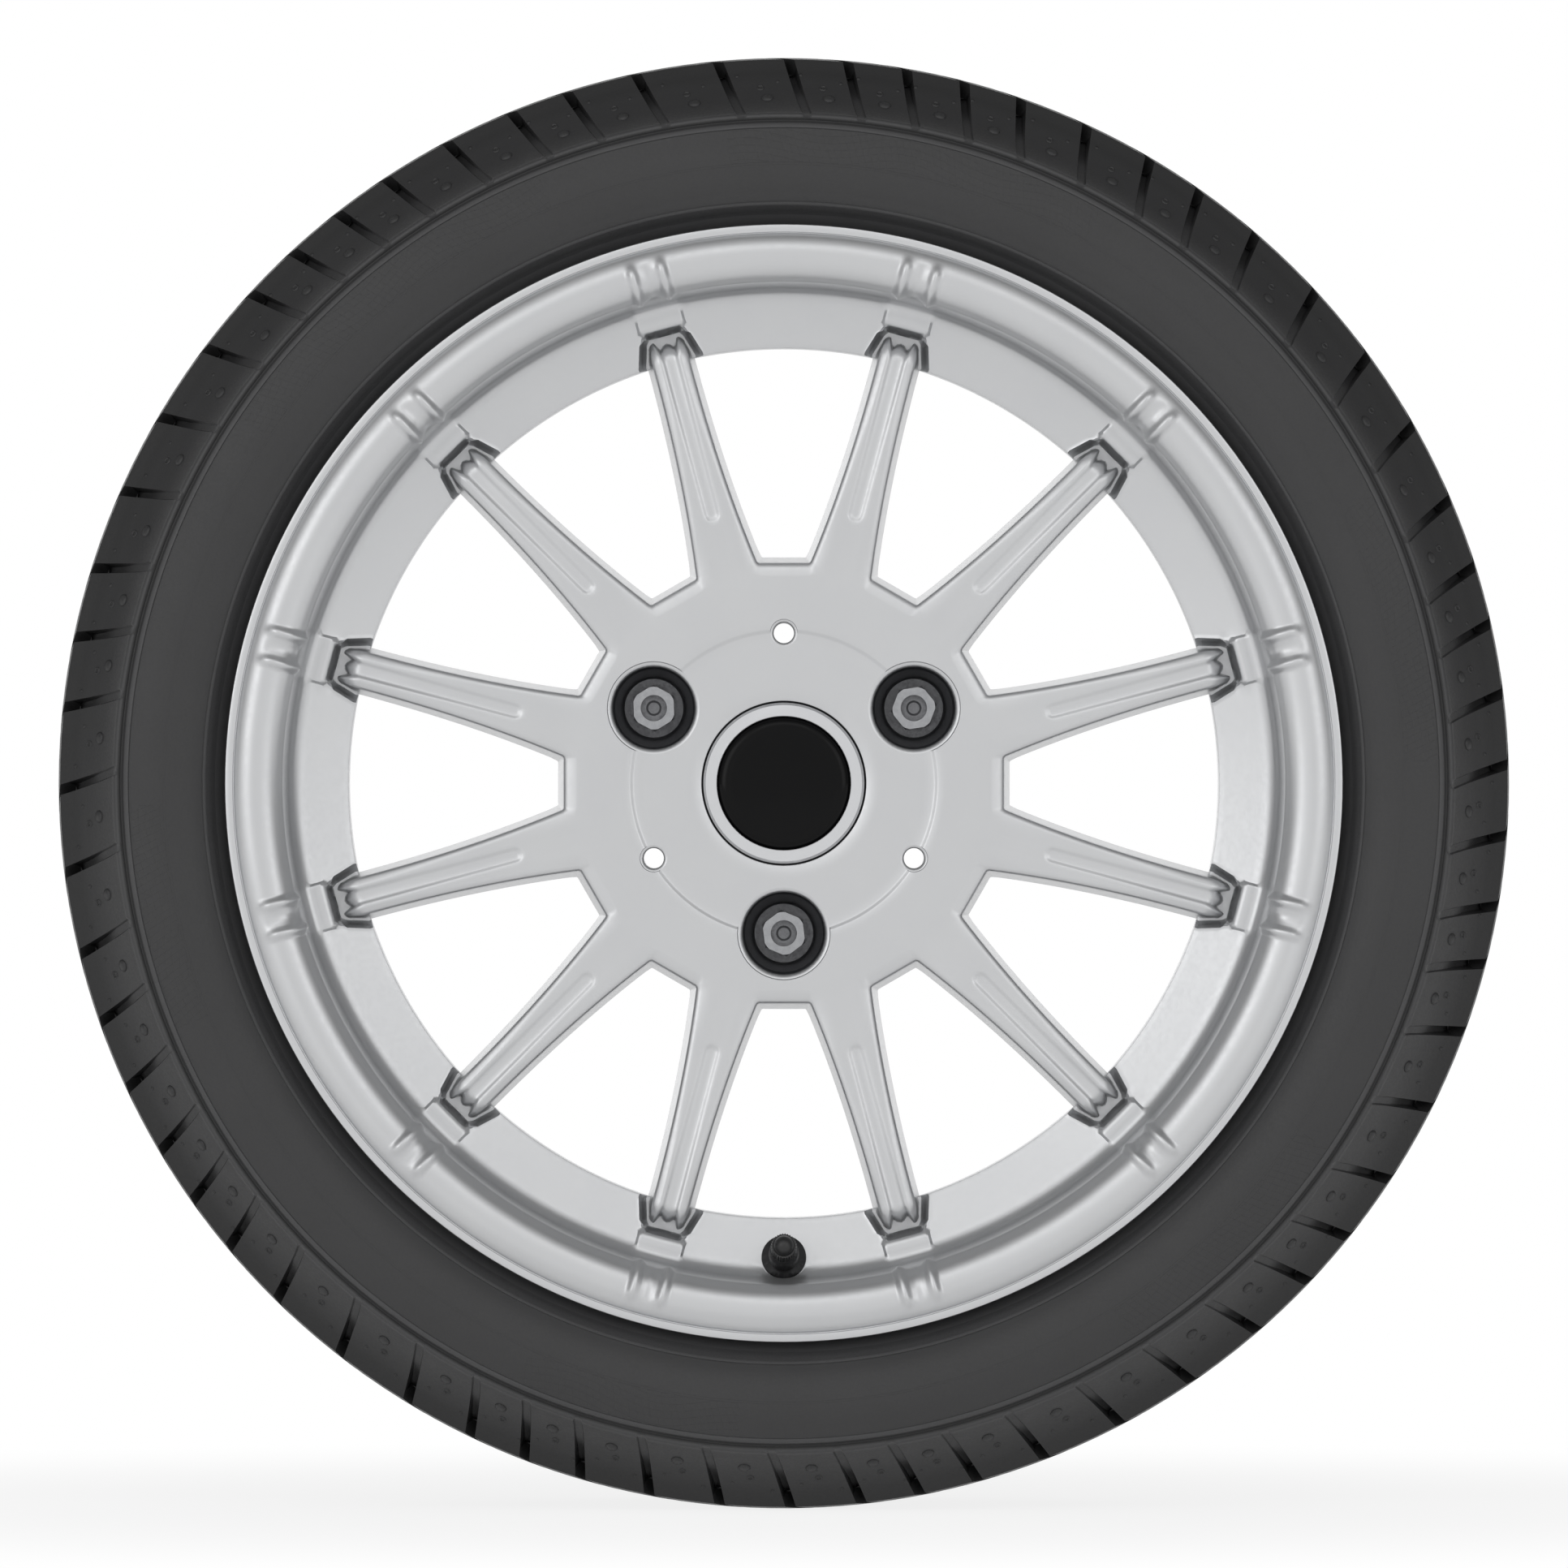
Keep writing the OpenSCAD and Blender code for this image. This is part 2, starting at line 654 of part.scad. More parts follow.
// Wheel bolt: flanged hexagon head with a tapered seat
module bolt(i) {
    head_z = seat_z;
    color([0.33, 0.33, 0.35]) standing() rotate([0, 0, -90 + i * 360 / bolt_n]) translate([pcd / 2, 0, 0]) {
        difference() {
            union() {
                translate([0, 0, head_z])
                    cylinder(d = bolt_flange_d, h = bolt_flange_h - 0.8);
                translate([0, 0, head_z + bolt_flange_h - 0.8])
                    cylinder(d1 = bolt_flange_d, d2 = bolt_flange_d - 1.6, h = 0.8);
                rotate([0, 0, bolt_turns[i]]) intersection() {
                    translate([0, 0, head_z + 1])
                        cylinder(d = hex_af / cos(30), h = hex_h + bolt_flange_h - 1, $fn = 6);
                    translate([0, 0, head_z])
                        cylinder(
                            d1 = hex_af / cos(30) + 2 * (hex_h + bolt_flange_h - 1),
                            d2 = hex_af / cos(30) - 2 * hex_chamfer,
                            h = hex_h + bolt_flange_h
                        );
                }
                translate([0, 0, head_z - bolt_seat_h])
                    cylinder(
                        d1 = bolt_flange_d - 1 - 2 * bolt_seat_h * tan(30),
                        d2 = bolt_flange_d - 1,
                        h = bolt_seat_h
                    );
                translate([0, 0, wheel_offset - bolt_reach + 1.5])
                    cylinder(d = bolt_d, h = head_z - wheel_offset + bolt_reach - 1.5);
                translate([0, 0, wheel_offset - bolt_reach])
                    cylinder(d1 = bolt_d - 3, d2 = bolt_d, h = 1.5 + eps);
            }
            translate([0, 0, head_z + bolt_flange_h + hex_h - bolt_recess_l])
                cylinder(d = bolt_recess_d, h = bolt_recess_l + 1);
            translate([0, 0, head_z + bolt_flange_h + hex_h - bolt_recess_l - 1])
                cylinder(d1 = bolt_recess_d - 5.6, d2 = bolt_recess_d - 4, h = 1 + eps);
        }
    }
}

// Cap shell with its clip legs
module cap_body() {
    step_z = face_z - step_d;
    top_z = face_z;
    base_z = step_z - cap_t;
    leg_r = bore_d / 2 - land_h - leg_clear;
    color("silver") standing() difference() {
        rotate_extrude() polygon([
            [0, base_z],
            [leg_r - leg_t, base_z],
            [leg_r - leg_t, land_z - 3.4],
            [leg_r - 0.4, land_z - 3.4],
            [leg_r + leg_catch, land_z - 1.8],
            [leg_r + leg_catch, land_z - 1.1],
            [leg_r, land_z - 0.3],
            [leg_r, base_z + eps],
            [cap_d / 2, base_z + eps],
            [cap_d / 2, top_z - 0.9],
            [cap_d / 2 - 0.9, top_z],
            [disc_d / 2 + 0.1, top_z],
            [disc_d / 2 + 0.1, top_z - disc_t],
            [0, top_z - disc_t]
        ]);
        for (i = [0:leg_n - 1]) {
            rotate([0, 0, i * 360 / leg_n])
                translate([leg_r - leg_t - 2, -leg_gap / 2, land_z - 5])
                    cube([leg_t + 5, leg_gap, base_z - land_z + 4]);
        }
    }
}

// Bare domed disc in the cap's front
module cap_disc() {
    color([0.05, 0.05, 0.05]) standing() rotate_extrude() polygon(concat(
        [[0, face_z - disc_t]],
        bulge([0, face_z + disc_dome], [disc_d / 2 - 2.6, face_z + 0.8], 0.2, 6),
        arc([disc_d / 2 - 1.4, face_z - 0.4], 1.4, 70, 0, 4),
        [[disc_d / 2, face_z - disc_t]]
    ));
}

// Spring ring behind the clip legs
module cap_wire() {
    leg_r = bore_d / 2 - land_h - leg_clear;
    color([0.6, 0.6, 0.62]) standing()
        rotate_extrude(angle = 330, start = 15)
            translate([leg_r - leg_t - wire_d / 2 - eps, land_z - 2.2]) circle(d = wire_d, $fn = 24);
}

// Moulded rubber body of the snap-in valve
module valve_rubber() {
    r = valve_hole_d / 2;
    color([0.08, 0.08, 0.08]) standing() at_valve() rotate_extrude() polygon([
        [stem_d / 2 - 1.2, -valve_land - 12],
        [r - 1.5, -valve_land - 12],
        [r + 3.4, -valve_land - 2.5],
        [r + 3.4, -valve_land - bead_gap],
        [r - bead_gap, -valve_land - bead_gap],
        [r - bead_gap, bead_gap],
        [collar_d / 2 - 0.5, bead_gap],
        [collar_d / 2, bead_gap + 0.5],
        [collar_d / 2 - 0.3, bead_gap + 1.2],
        [stem_rubber_d / 2 + 0.6, collar_t],
        [stem_rubber_d / 2, collar_t + 0.8],
        [stem_rubber_d / 2 - 0.2, stem_rubber_l - 2.4],
        [stem_d / 2 + 0.5, stem_rubber_l - 0.6],
        [stem_d / 2, stem_rubber_l - 0.6],
        [stem_d / 2, stem_rubber_l - 5],
        [stem_d / 2 - 1.2, stem_rubber_l - 6]
    ]);
}

// Brass stem bonded into the rubber
module valve_stem() {
    color([0.78, 0.62, 0.3]) standing() at_valve() rotate_extrude() polygon([
        [stem_bore_d / 2, stem_rubber_l - 14],
        [stem_d / 2 - 1.2, stem_rubber_l - 14],
        [stem_d / 2 - 1.2, stem_rubber_l - 6],
        [stem_d / 2, stem_rubber_l - 5],
        [stem_d / 2, thread_z - 0.5],
        [stem_d / 2 - 0.5, thread_z],
        [stem_bore_d / 2 + 0.3, thread_z],
        [stem_bore_d / 2, thread_z - 0.4]
    ]);
}

// Screwed-in body of the valve core
module core_body() {
    color([0.78, 0.62, 0.3]) standing() at_valve() rotate_extrude() polygon([
        [pin_d / 2 + 0.08, core_top - 15],
        [stem_bore_d / 2 - 0.7, core_top - 15],
        [stem_bore_d / 2 - 0.7, core_top - 9],
        [stem_bore_d / 2 - 0.4, core_top - 8.5],
        [stem_bore_d / 2 - 0.4, core_top - 5],
        [stem_bore_d / 2, core_top - 4.5],
        [stem_bore_d / 2, core_top - 0.4],
        [stem_bore_d / 2 - 0.4, core_top],
        [stem_bore_d / 2 - 0.9, core_top],
        [stem_bore_d / 2 - 0.9, core_top - 3],
        [pin_d / 2 + 0.08, core_top - 3.4],
        [pin_d / 2 + 0.08, core_top - 5.5],
        [stem_bore_d / 2 - 1.1, core_top - 6],
        [stem_bore_d / 2 - 1.1, core_top - 14],
        [pin_d / 2 + 0.08, core_top - 14]
    ]);
}

// Tapered seal around the core's body
module core_seal() {
    color([0.7, 0.15, 0.1]) standing() at_valve() rotate_extrude() polygon([
        [stem_bore_d / 2 - 0.4, core_top - 7.8],
        [stem_bore_d / 2 - 0.02, core_top - 7.2],
        [stem_bore_d / 2 - 0.02, core_top - 5.6],
        [stem_bore_d / 2 - 0.4, core_top - 5.4]
    ]);
}

// Valve pin with its plunger
module core_pin() {
    color([0.8, 0.66, 0.35]) standing() at_valve() rotate_extrude() polygon([
        [0, core_top - 17.6],
        [1.5, core_top - 17.6],
        [1.5, core_top - 15.6],
        [1, core_top - 15.1],
        [pin_d / 2, core_top - 15.1],
        [pin_d / 2, core_top - 7.4],
        [1.05, core_top - 7.4],
        [1.05, core_top - 6.9],
        [pin_d / 2, core_top - 6.9],
        [pin_d / 2, core_top - 0.3],
        [pin_d / 2 - 0.2, core_top],
        [0, core_top]
    ]);
}

// Spring around the pin, drawn as the tube that its coils fill when the pin is pressed in
module core_spring() {
    free_l = 6.4;
    color([0.7, 0.7, 0.72]) standing() at_valve() translate([0, 0, core_top - 13.9]) difference() {
        cylinder(r = 1.1, h = free_l - pin_travel - 0.1);
        translate([0, 0, -1]) cylinder(r = pin_d / 2 + 0.05, h = 9);
    }
}

// Knurled screw cap with a domed tip
module valve_cap() {
    z0 = stem_rubber_l + 0.3;
    in_r = stem_d / 2 + cap_thread_gap;
    ridge_h = 0.4;
    cone_h = 1.5;
    color([0.07, 0.07, 0.07]) standing() at_valve() difference() {
        union() {
            translate([0, 0, z0]) linear_extrude(skirt_z - cone_h + 0.6 - z0) polygon([
                for (i = [0:2 * cap_knurl_n - 1])
                (cap_body_d / 2 - ridge_h * (i % 2))
                * [cos(i * 180 / cap_knurl_n), sin(i * 180 / cap_knurl_n)]
            ]);
            translate([0, 0, skirt_z - cone_h])
                cylinder(d1 = cap_body_d - 2 * ridge_h - 0.3, d2 = cap_tip_d, h = cone_h);
            translate([0, 0, skirt_z - 0.4]) sphere(d = cap_tip_d);
        }
        translate([0, 0, z0 - 1]) cylinder(r = in_r, h = seal_z + cap_seal_t - z0 + 1);
    }
}

// Seal inside the cap
module valve_cap_seal() {
    color([0.3, 0.3, 0.3]) standing() at_valve() translate([0, 0, seal_z]) difference() {
        cylinder(r = stem_d / 2 + cap_thread_gap - 0.02, h = cap_seal_t - 0.02);
        translate([0, 0, -1]) cylinder(r = 1.4, h = 3);
    }
}

wheel();
tyre();
cap_body();
cap_disc();
cap_wire();
bolt(0);  // bolt_1
bolt(1);  // bolt_2
bolt(2);  // bolt_3
valve_rubber();
valve_stem();
core_body();
core_seal();
core_pin();
core_spring();
valve_cap();
valve_cap_seal();
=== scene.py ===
"""Looks of a twelve-spoke cast alloy road wheel with its tyre, centre cap, wheel bolts and valve.

Sizes are in millimetres and are turned to metres when a mesh is made. Each piece is drawn around the
axle first, with height towards the outer face, and stands up in the frame: x right, y to the car, z up.
"""

import logging
import math
from collections.abc import Sequence
from dataclasses import dataclass, field
from enum import Enum

import bmesh
import bpy
from mathutils import Matrix, Vector


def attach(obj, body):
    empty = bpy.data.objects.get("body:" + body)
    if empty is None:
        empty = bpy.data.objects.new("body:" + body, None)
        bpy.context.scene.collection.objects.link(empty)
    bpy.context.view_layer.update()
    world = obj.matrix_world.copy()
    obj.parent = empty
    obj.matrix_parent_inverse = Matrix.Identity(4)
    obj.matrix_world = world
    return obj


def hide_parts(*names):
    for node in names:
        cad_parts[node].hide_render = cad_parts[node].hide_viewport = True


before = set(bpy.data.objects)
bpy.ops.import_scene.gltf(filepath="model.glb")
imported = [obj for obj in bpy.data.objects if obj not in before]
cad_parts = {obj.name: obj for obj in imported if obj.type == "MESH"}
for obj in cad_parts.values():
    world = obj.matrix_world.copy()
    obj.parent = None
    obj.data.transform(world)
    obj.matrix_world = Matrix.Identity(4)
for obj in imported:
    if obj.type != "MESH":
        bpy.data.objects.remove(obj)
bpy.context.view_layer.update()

LOG = logging.getLogger("wheel")
MM = 0.001
Pair = tuple[float, float]
Point = tuple[float, float, float]
Colour = tuple[float, float, float, float]
Row = list[Point | None]
Tree = bpy.types.NodeTree
Socket = bpy.types.NodeSocket
Material = bpy.types.Material
Object = bpy.types.Object
BMesh = bmesh.types.BMesh


class Body(Enum):
    """Bodies of the frame that pieces ride on."""

    WHEEL = "wheel_body"
    CAP = "cap"


class Mark(Enum):
    """Small raised marks on a shoulder block of the tyre."""

    BUMP = "bump"
    RING = "ring"
    PIP = "pip"


def lerp(a: float, b: float, t: float) -> float:
    """Return the value that lies the share t of the way from a to b."""
    return a + (b - a) * t


def ease(t: float) -> float:
    """Return a smooth step from 0 at t = 0 to 1 at t = 1."""
    t = min(1.0, max(0.0, t))
    return t * t * (3.0 - 2.0 * t)


def follow(table: Sequence[Pair], x: float, smooth: bool = True) -> float:
    """Read a value off a line through a table.

    Args:
        table: pairs of place and value, in rising order of place.
        x: the place.
        smooth: whether the line eases from value to value, or runs straight.

    Returns:
        The value at x, held at both ends.
    """
    if x <= table[0][0]:
        return table[0][1]
    for (x0, y0), (x1, y1) in zip(table, table[1:]):
        if x <= x1:
            share = (x - x0) / (x1 - x0)
            return lerp(y0, y1, ease(share) if smooth else share)
    return table[-1][1]


def arc(
    centre: Pair, radius: float, start: float, end: float, steps: int
) -> list[Pair]:
    """Return points on an arc.

    Args:
        centre: centre of the arc.
        radius: its radius.
        start: first angle in degrees.
        end: last angle in degrees.
        steps: number of steps between them.

    Returns:
        The points, both ends included.
    """
    points = []
    for i in range(steps + 1):
        a = math.radians(lerp(start, end, i / steps))
        points.append((centre[0] + radius * math.cos(a), centre[1] + radius * math.sin(a)))
    return points


def crown(
    a: Pair, b: Pair, rise: float, steps: int, power: float = 2.0
) -> list[Pair]:
    """Return points from a to b along a bow over their chord, on the left of a to b.

    Args:
        a: first end.
        b: last end.
        rise: height of the bow over the chord.
        steps: number of steps.
        power: 2 for a parabola, more for a flatter top with steeper ends.

    Returns:
        The points, both ends included.
    """
    dx, dy = b[0] - a[0], b[1] - a[1]
    length = math.hypot(dx, dy)
    points = []
    for i in range(steps + 1):
        t = i / steps
        h = rise * (1.0 - abs(2.0 * t - 1.0) ** power)
        points.append((a[0] + dx * t - dy / length * h, a[1] + dy * t + dx / length * h))
    return points


# Materials


def linear(code: str) -> Colour:
    """Turn an sRGB hex colour into the linear colour that a shader takes.

    Args:
        code: the colour, such as #c9cacc.

    Returns:
        Red, green, blue and alpha.
    """
    channels = [int(code[i : i + 2], 16) / 255.0 for i in (1, 3, 5)]
    r, g, b = (c / 12.92 if c <= 0.04045 else ((c + 0.055) / 1.055) ** 2.4 for c in channels)
    return (r, g, b, 1.0)


def add_node(
    tree: Tree, kind: str, inputs: dict | None = None, **settings: object
) -> bpy.types.Node:
    """Add a node with its settings and links.

    Args:
        tree: the node tree.
        kind: the node's type name.
        inputs: value or output socket for each input, by name or number.
        settings: properties of the node.

    Returns:
        The new node.
    """
    node = tree.nodes.new(kind)
    for name, value in settings.items():
        setattr(node, name, value)
    for key, value in (inputs or {}).items():
        if isinstance(value, Socket):
            tree.links.new(value, node.inputs[key])
        else:
            node.inputs[key].default_value = value
    return node


def calc(tree: Tree, operation: str, *values: object) -> Socket:
    """Add one step of arithmetic and return its result."""
    node = add_node(tree, "ShaderNodeMath", dict(enumerate(values)), operation=operation)
    return node.outputs[0]


@dataclass(frozen=True)
class Finish:
    """A surface: its colour, gloss and fine texture."""

    name: str
    colour: str
    shade: str
    roughness: float
    metallic: float = 0.0
    specular: float = 0.5
    coat: float = 0.0
    coat_roughness: float = 0.1
    grain_mm: float = 0.6
    grain_depth_mm: float = 0.01
    gloss_spread: float = 0.05
    patch_mm: float = 25.0

    def build(self) -> Material:
        """Build the material, with the same nodes for each finish of this kind.

        Returns:
            The material.
        """
        material = bpy.data.materials.new(self.name)
        material.use_nodes = True
        material.diffuse_color = linear(self.colour)
        tree = material.node_tree
        tree.nodes.clear()
        out = add_node(tree, "ShaderNodeOutputMaterial")
        place = add_node(tree, "ShaderNodeTexCoord").outputs["Object"]
        grain = add_node(tree, "ShaderNodeTexNoise", {
            "Vector": place, "Scale": 1.0 / (self.grain_mm * MM), "Detail": 1.0, "Roughness": 0.5,
        })
        patch = add_node(tree, "ShaderNodeTexNoise", {
            "Vector": place, "Scale": 1.0 / (self.patch_mm * MM), "Detail": 4.0, "Roughness": 0.55,
        })
        tone = add_node(tree, "ShaderNodeMix", {
            0: patch.outputs["Fac"], 6: linear(self.colour), 7: linear(self.shade),
        }, data_type="RGBA")
        gloss = add_node(tree, "ShaderNodeMapRange", {
            "Value": grain.outputs["Fac"], "From Min": 0.3, "From Max": 0.7,
            "To Min": self.roughness - self.gloss_spread, "To Max": self.roughness + self.gloss_spread,
        })
        colour = self.toned(tree, place, tone.outputs[2])
        relief = self.relief(tree, place, grain.outputs["Fac"])
        bump = add_node(tree, "ShaderNodeBump", {
            "Height": relief, "Distance": self.grain_depth_mm * MM, "Strength": 1.0,
        })
        shader = add_node(tree, "ShaderNodeBsdfPrincipled", {
            "Base Color": colour, "Roughness": gloss.outputs["Result"], "Metallic": self.metallic,
            "Specular IOR Level": self.specular, "Coat Weight": self.coat,
            "Coat Roughness": self.coat_roughness, "Normal": bump.outputs["Normal"],
        })
        tree.links.new(shader.outputs["BSDF"], out.inputs["Surface"])
        return material

    def relief(self, tree: Tree, place: Socket, grain: Socket) -> Socket:
        """Return the height that the bump reads, in parts of the grain's depth."""
        return grain

    def toned(self, tree: Tree, place: Socket, tone: Socket) -> Socket:
        """Return the colour, here as it is."""
        return tone


# Satin silver lacquer over cast aluminium, sprayed: a bright even silver with a soft wide highlight
# and the faint grain of its metal flakes. Real flakes are far finer: the grain is as coarse as it
# needs to be to show.
SILVER_PAINT = Finish(
    "silver_lacquer_sprayed", "#cbcccd", "#c6c7c9", 0.36, metallic=0.82, coat=0.2, coat_roughness=0.18,
    grain_mm=1.6, grain_depth_mm=0.004, gloss_spread=0.03,
)
# The silver lacquer made dark, as painted shade in the deep bolt pockets, in the recess around the centre
# cap and on the cap's side, where light hardly reaches.
PAINTED_SHADE = Finish("silver_lacquer_painted_shade", "#56575a", "#4b4c50", 0.6, metallic=0.4)
# Silver lacquered ABS, moulded: like the paint of the wheel, a little smoother and lighter.
SILVER_PLASTIC = Finish(
    "silver_abs_lacquered", "#d2d3d5", "#cdced0", 0.3, metallic=0.88, coat=0.25, coat_roughness=0.15,
    grain_mm=0.5, grain_depth_mm=0.003, gloss_spread=0.02,
)
# Black acrylic, moulded and polished: deep black with sharp reflections.
BLACK_ACRYLIC = Finish(
    "black_acrylic_polished", "#0c0c0d", "#0b0b0c", 0.09, specular=0.12, grain_mm=4.0, grain_depth_mm=0.001,
    gloss_spread=0.01,
)
# Steel with a zinc flake coating, dip spun: matt dark grey with a crystalline grain, drawn coarser
# than the real one so that it shows.
ZINC_FLAKE = Finish(
    "steel_zinc_flake", "#7e7f81", "#69696c", 0.5, metallic=0.8, grain_mm=0.6, grain_depth_mm=0.03,
    gloss_spread=0.1, patch_mm=3.0,
)
# The same steel, lighter and a little smoother, on the front faces of the bolt heads.
HEAD_FACE_STEEL = Finish(
    "steel_zinc_flake_head_face", "#adaeb0", "#8f9093", 0.4, metallic=0.85, grain_mm=0.5, grain_depth_mm=0.03,
    gloss_spread=0.1, patch_mm=2.0,
)
# EPDM rubber, moulded: near black with a faint satin gloss.
VALVE_RUBBER = Finish("epdm_rubber_moulded", "#1b1b1c", "#232324", 0.45, grain_mm=0.4, grain_depth_mm=0.01)
# Polyamide, moulded: black, slightly grained.
BLACK_NYLON = Finish("polyamide_moulded", "#191919", "#222223", 0.38, grain_mm=0.3, grain_depth_mm=0.008)
# Brass, turned: warm yellow metal.
BRASS = Finish("brass_turned", "#c9a95e", "#b8964a", 0.3, metallic=1.0, grain_mm=0.3, grain_depth_mm=0.006)
# Spring steel wire, drawn: bright grey metal.
SPRING_STEEL = Finish("spring_steel_drawn", "#b0b0b4", "#9a9a9f", 0.3, metallic=1.0, grain_mm=0.3)
# Silicone seal, moulded: dull red.
RED_SILICONE = Finish("silicone_moulded", "#9c2f26", "#86261f", 0.5, grain_mm=0.4)


@dataclass(frozen=True)
class TyreRubber(Finish):
    """Vulcanised tyre rubber with the mould's fine marks on the sidewalls."""

    line_r: float = 230.0
    line_half: float = 0.4
    check_r: Pair = (230.6, 243.2)
    check_mm: float = 2.7
    # length of a degree around the middle of the checks, in millimetres
    degree_mm: float = 4.137
    # heights in parts of the grain's depth
    check_height: float = 7.0
    line_height: float = 14.0
    # middle and half width in degrees of each band of checks
    patches: tuple[Pair, ...] = ((12, 17), (76, 12), (136, 12), (194, 10), (258, 10), (321, 17))
    # middle and half length of the ticks, and how they lie around
    ticks: tuple[Pair, ...] = ((215.4, 1.7), (244.7, 1.2))
    tick_start: float = 5.0
    tick_half: float = 0.09
    tick_turn: float = 22.5
    # painted light and shade by radius: the bead, which lies in shadow, the ridge and the edge of the blocks
    # are painted lighter; the groove and the tread's shoulder are painted darker
    # radius and lightness: bead, sidewall, ridge, groove, edge of the blocks, blocks, tread
    painted_light_and_shade: tuple[Pair, ...] = (
        (205.0, 1.0), (214.0, 1.0), (216.5, 0.62), (220.0, 0.47), (243.0, 0.47), (243.6, 0.85),
        (245.0, 0.85), (245.7, 0.33), (247.2, 0.33), (247.8, 0.75), (248.6, 0.7), (249.6, 0.46),
        (256.0, 0.45), (261.0, 0.36), (264.5, 0.22), (271.0, 0.16),
    )
    painted_light_and_shade_r: Pair = (200.0, 280.0)

    def relief(self, tree: Tree, place: Socket, grain: Socket) -> Socket:
        """Return the grain with a fine circle, tick marks and bands of small checks, as cut into the mould.

        Args:
            tree: the material's nodes.
            place: place on the object in metres.
            grain: height of the rubber's own grain.

        Returns:
            The height that the bump reads.
        """
        radius = calc(tree, "MULTIPLY", self.reach(tree, place), 1.0 / MM)
        xyz = add_node(tree, "ShaderNodeSeparateXYZ", {0: place})
        angle = calc(tree, "DEGREES", calc(tree, "ARCTAN2", xyz.outputs["X"], xyz.outputs["Z"]))

        def near(middle: float, half: float) -> Socket:
            """Return 1 where the radius is within half of the middle, else 0."""
            off = calc(tree, "ABSOLUTE", calc(tree, "SUBTRACT", radius, middle))
            return calc(tree, "LESS_THAN", off, half)

        def near_angle(middle: float, half: float, turn: float) -> Socket:
            """Return 1 where the angle is within half of the middle or of its repeats, else 0."""
            off = calc(tree, "WRAP", calc(tree, "SUBTRACT", angle, middle), turn / 2.0, -turn / 2.0)
            return calc(tree, "LESS_THAN", calc(tree, "ABSOLUTE", off), half)

        (low_tick, low_half), (high_tick, high_half) = self.ticks
        tick_band = calc(tree, "ADD", near(low_tick, low_half), near(high_tick, high_half))
        around_ticks = near_angle(self.tick_start, self.tick_half, self.tick_turn)
        ticks = calc(tree, "MULTIPLY", around_ticks, tick_band)
        # the rows of checks sway a little and lean with the radius
        sway = calc(tree, "MULTIPLY", calc(tree, "SINE", calc(tree, "MULTIPLY", angle, 0.42)), 0.9)
        across = calc(tree, "FLOOR", calc(tree, "MULTIPLY_ADD", radius, 1.0 / self.check_mm, sway))
        lean = calc(tree, "MULTIPLY", radius, 0.14)
        per_degree = self.degree_mm / self.check_mm
        around = calc(tree, "FLOOR", calc(tree, "MULTIPLY_ADD", angle, per_degree, lean))
        checks = calc(tree, "ABSOLUTE", calc(tree, "MODULO", calc(tree, "ADD", across, around), 2.0))
        here: object = 0.0
        for middle, half in self.patches:
            here = calc(tree, "ADD", here, near_angle(float(middle), float(half), 360.0))
        low, high = self.check_r
        band = calc(tree, "MULTIPLY", near((low + high) / 2.0, (high - low) / 2.0), here)
        marks = calc(tree, "MULTIPLY_ADD", calc(tree, "MULTIPLY", checks, band), self.check_height, grain)
        lines = calc(tree, "ADD", near(self.line_r, self.line_half), ticks)
        return calc(tree, "MULTIPLY_ADD", lines, self.line_height, marks)

    def toned(self, tree: Tree, place: Socket, tone: Socket) -> Socket:
        """Return the colour with painted light on the bead, the ridge and the edge of the blocks, and
        painted shade in the groove and over the tread.

        Args:
            tree: the material's nodes.
            place: place on the object in metres.
            tone: colour of the rubber at its lightest.

        Returns:
            The colour that the shader takes.
        """
        low, high = (r * MM for r in self.painted_light_and_shade_r)
        share = calc(tree, "DIVIDE", calc(tree, "SUBTRACT", self.reach(tree, place), low), high - low)
        ramp = add_node(tree, "ShaderNodeValToRGB", {0: share})
        stops = ramp.color_ramp.elements
        for stop, (_, level) in ((stops[0], self.painted_light_and_shade[0]), (stops[1], self.painted_light_and_shade[-1])):
            stop.color = (level, level, level, 1.0)
        for r, level in self.painted_light_and_shade:
            stops.new((r * MM - low) / (high - low)).color = (level, level, level, 1.0)
        return add_node(
            tree, "ShaderNodeMix", {0: 1.0, 6: tone, 7: ramp.outputs["Color"]}, data_type="RGBA",
            blend_type="MULTIPLY",
        ).outputs[2]

    @staticmethod
    def reach(tree: Tree, place: Socket) -> Socket:
        """Return the distance from the axle.

        Args:
            tree: the material's nodes.
            place: place on the object in metres.

        Returns:
            The distance in metres.
        """
        level = add_node(tree, "ShaderNodeVectorMath", {0: place, 1: (1.0, 0.0, 1.0)}, operation="MULTIPLY")
        length = add_node(tree, "ShaderNodeVectorMath", {0: level.outputs[0]}, operation="LENGTH")
        return length.outputs["Value"]


# Carbon black tyre rubber, moulded: dark grey, matt, with a low sheen on the sidewall and a grain
# drawn coarse enough to show.
TYRE_RUBBER = TyreRubber(
    "tyre_rubber_moulded", "#555556", "#4b4b4c", 0.52, specular=0.45, grain_mm=0.9, grain_depth_mm=0.03,
    gloss_spread=0.05, patch_mm=40.0,
)


class Paintbox:
    """Makes each finish once."""

    def __init__(self) -> None:
        """Start with no material."""
        self.made: dict[str, Material] = {}

    def get(self, finish: Finish) -> Material:
        """Return the material of a finish, made when it is first asked for.

        Args:
            finish: the finish.

        Returns:
            Its material.
        """
        if finish.name not in self.made:
            self.made[finish.name] = finish.build()
        return self.made[finish.name]


# Meshes


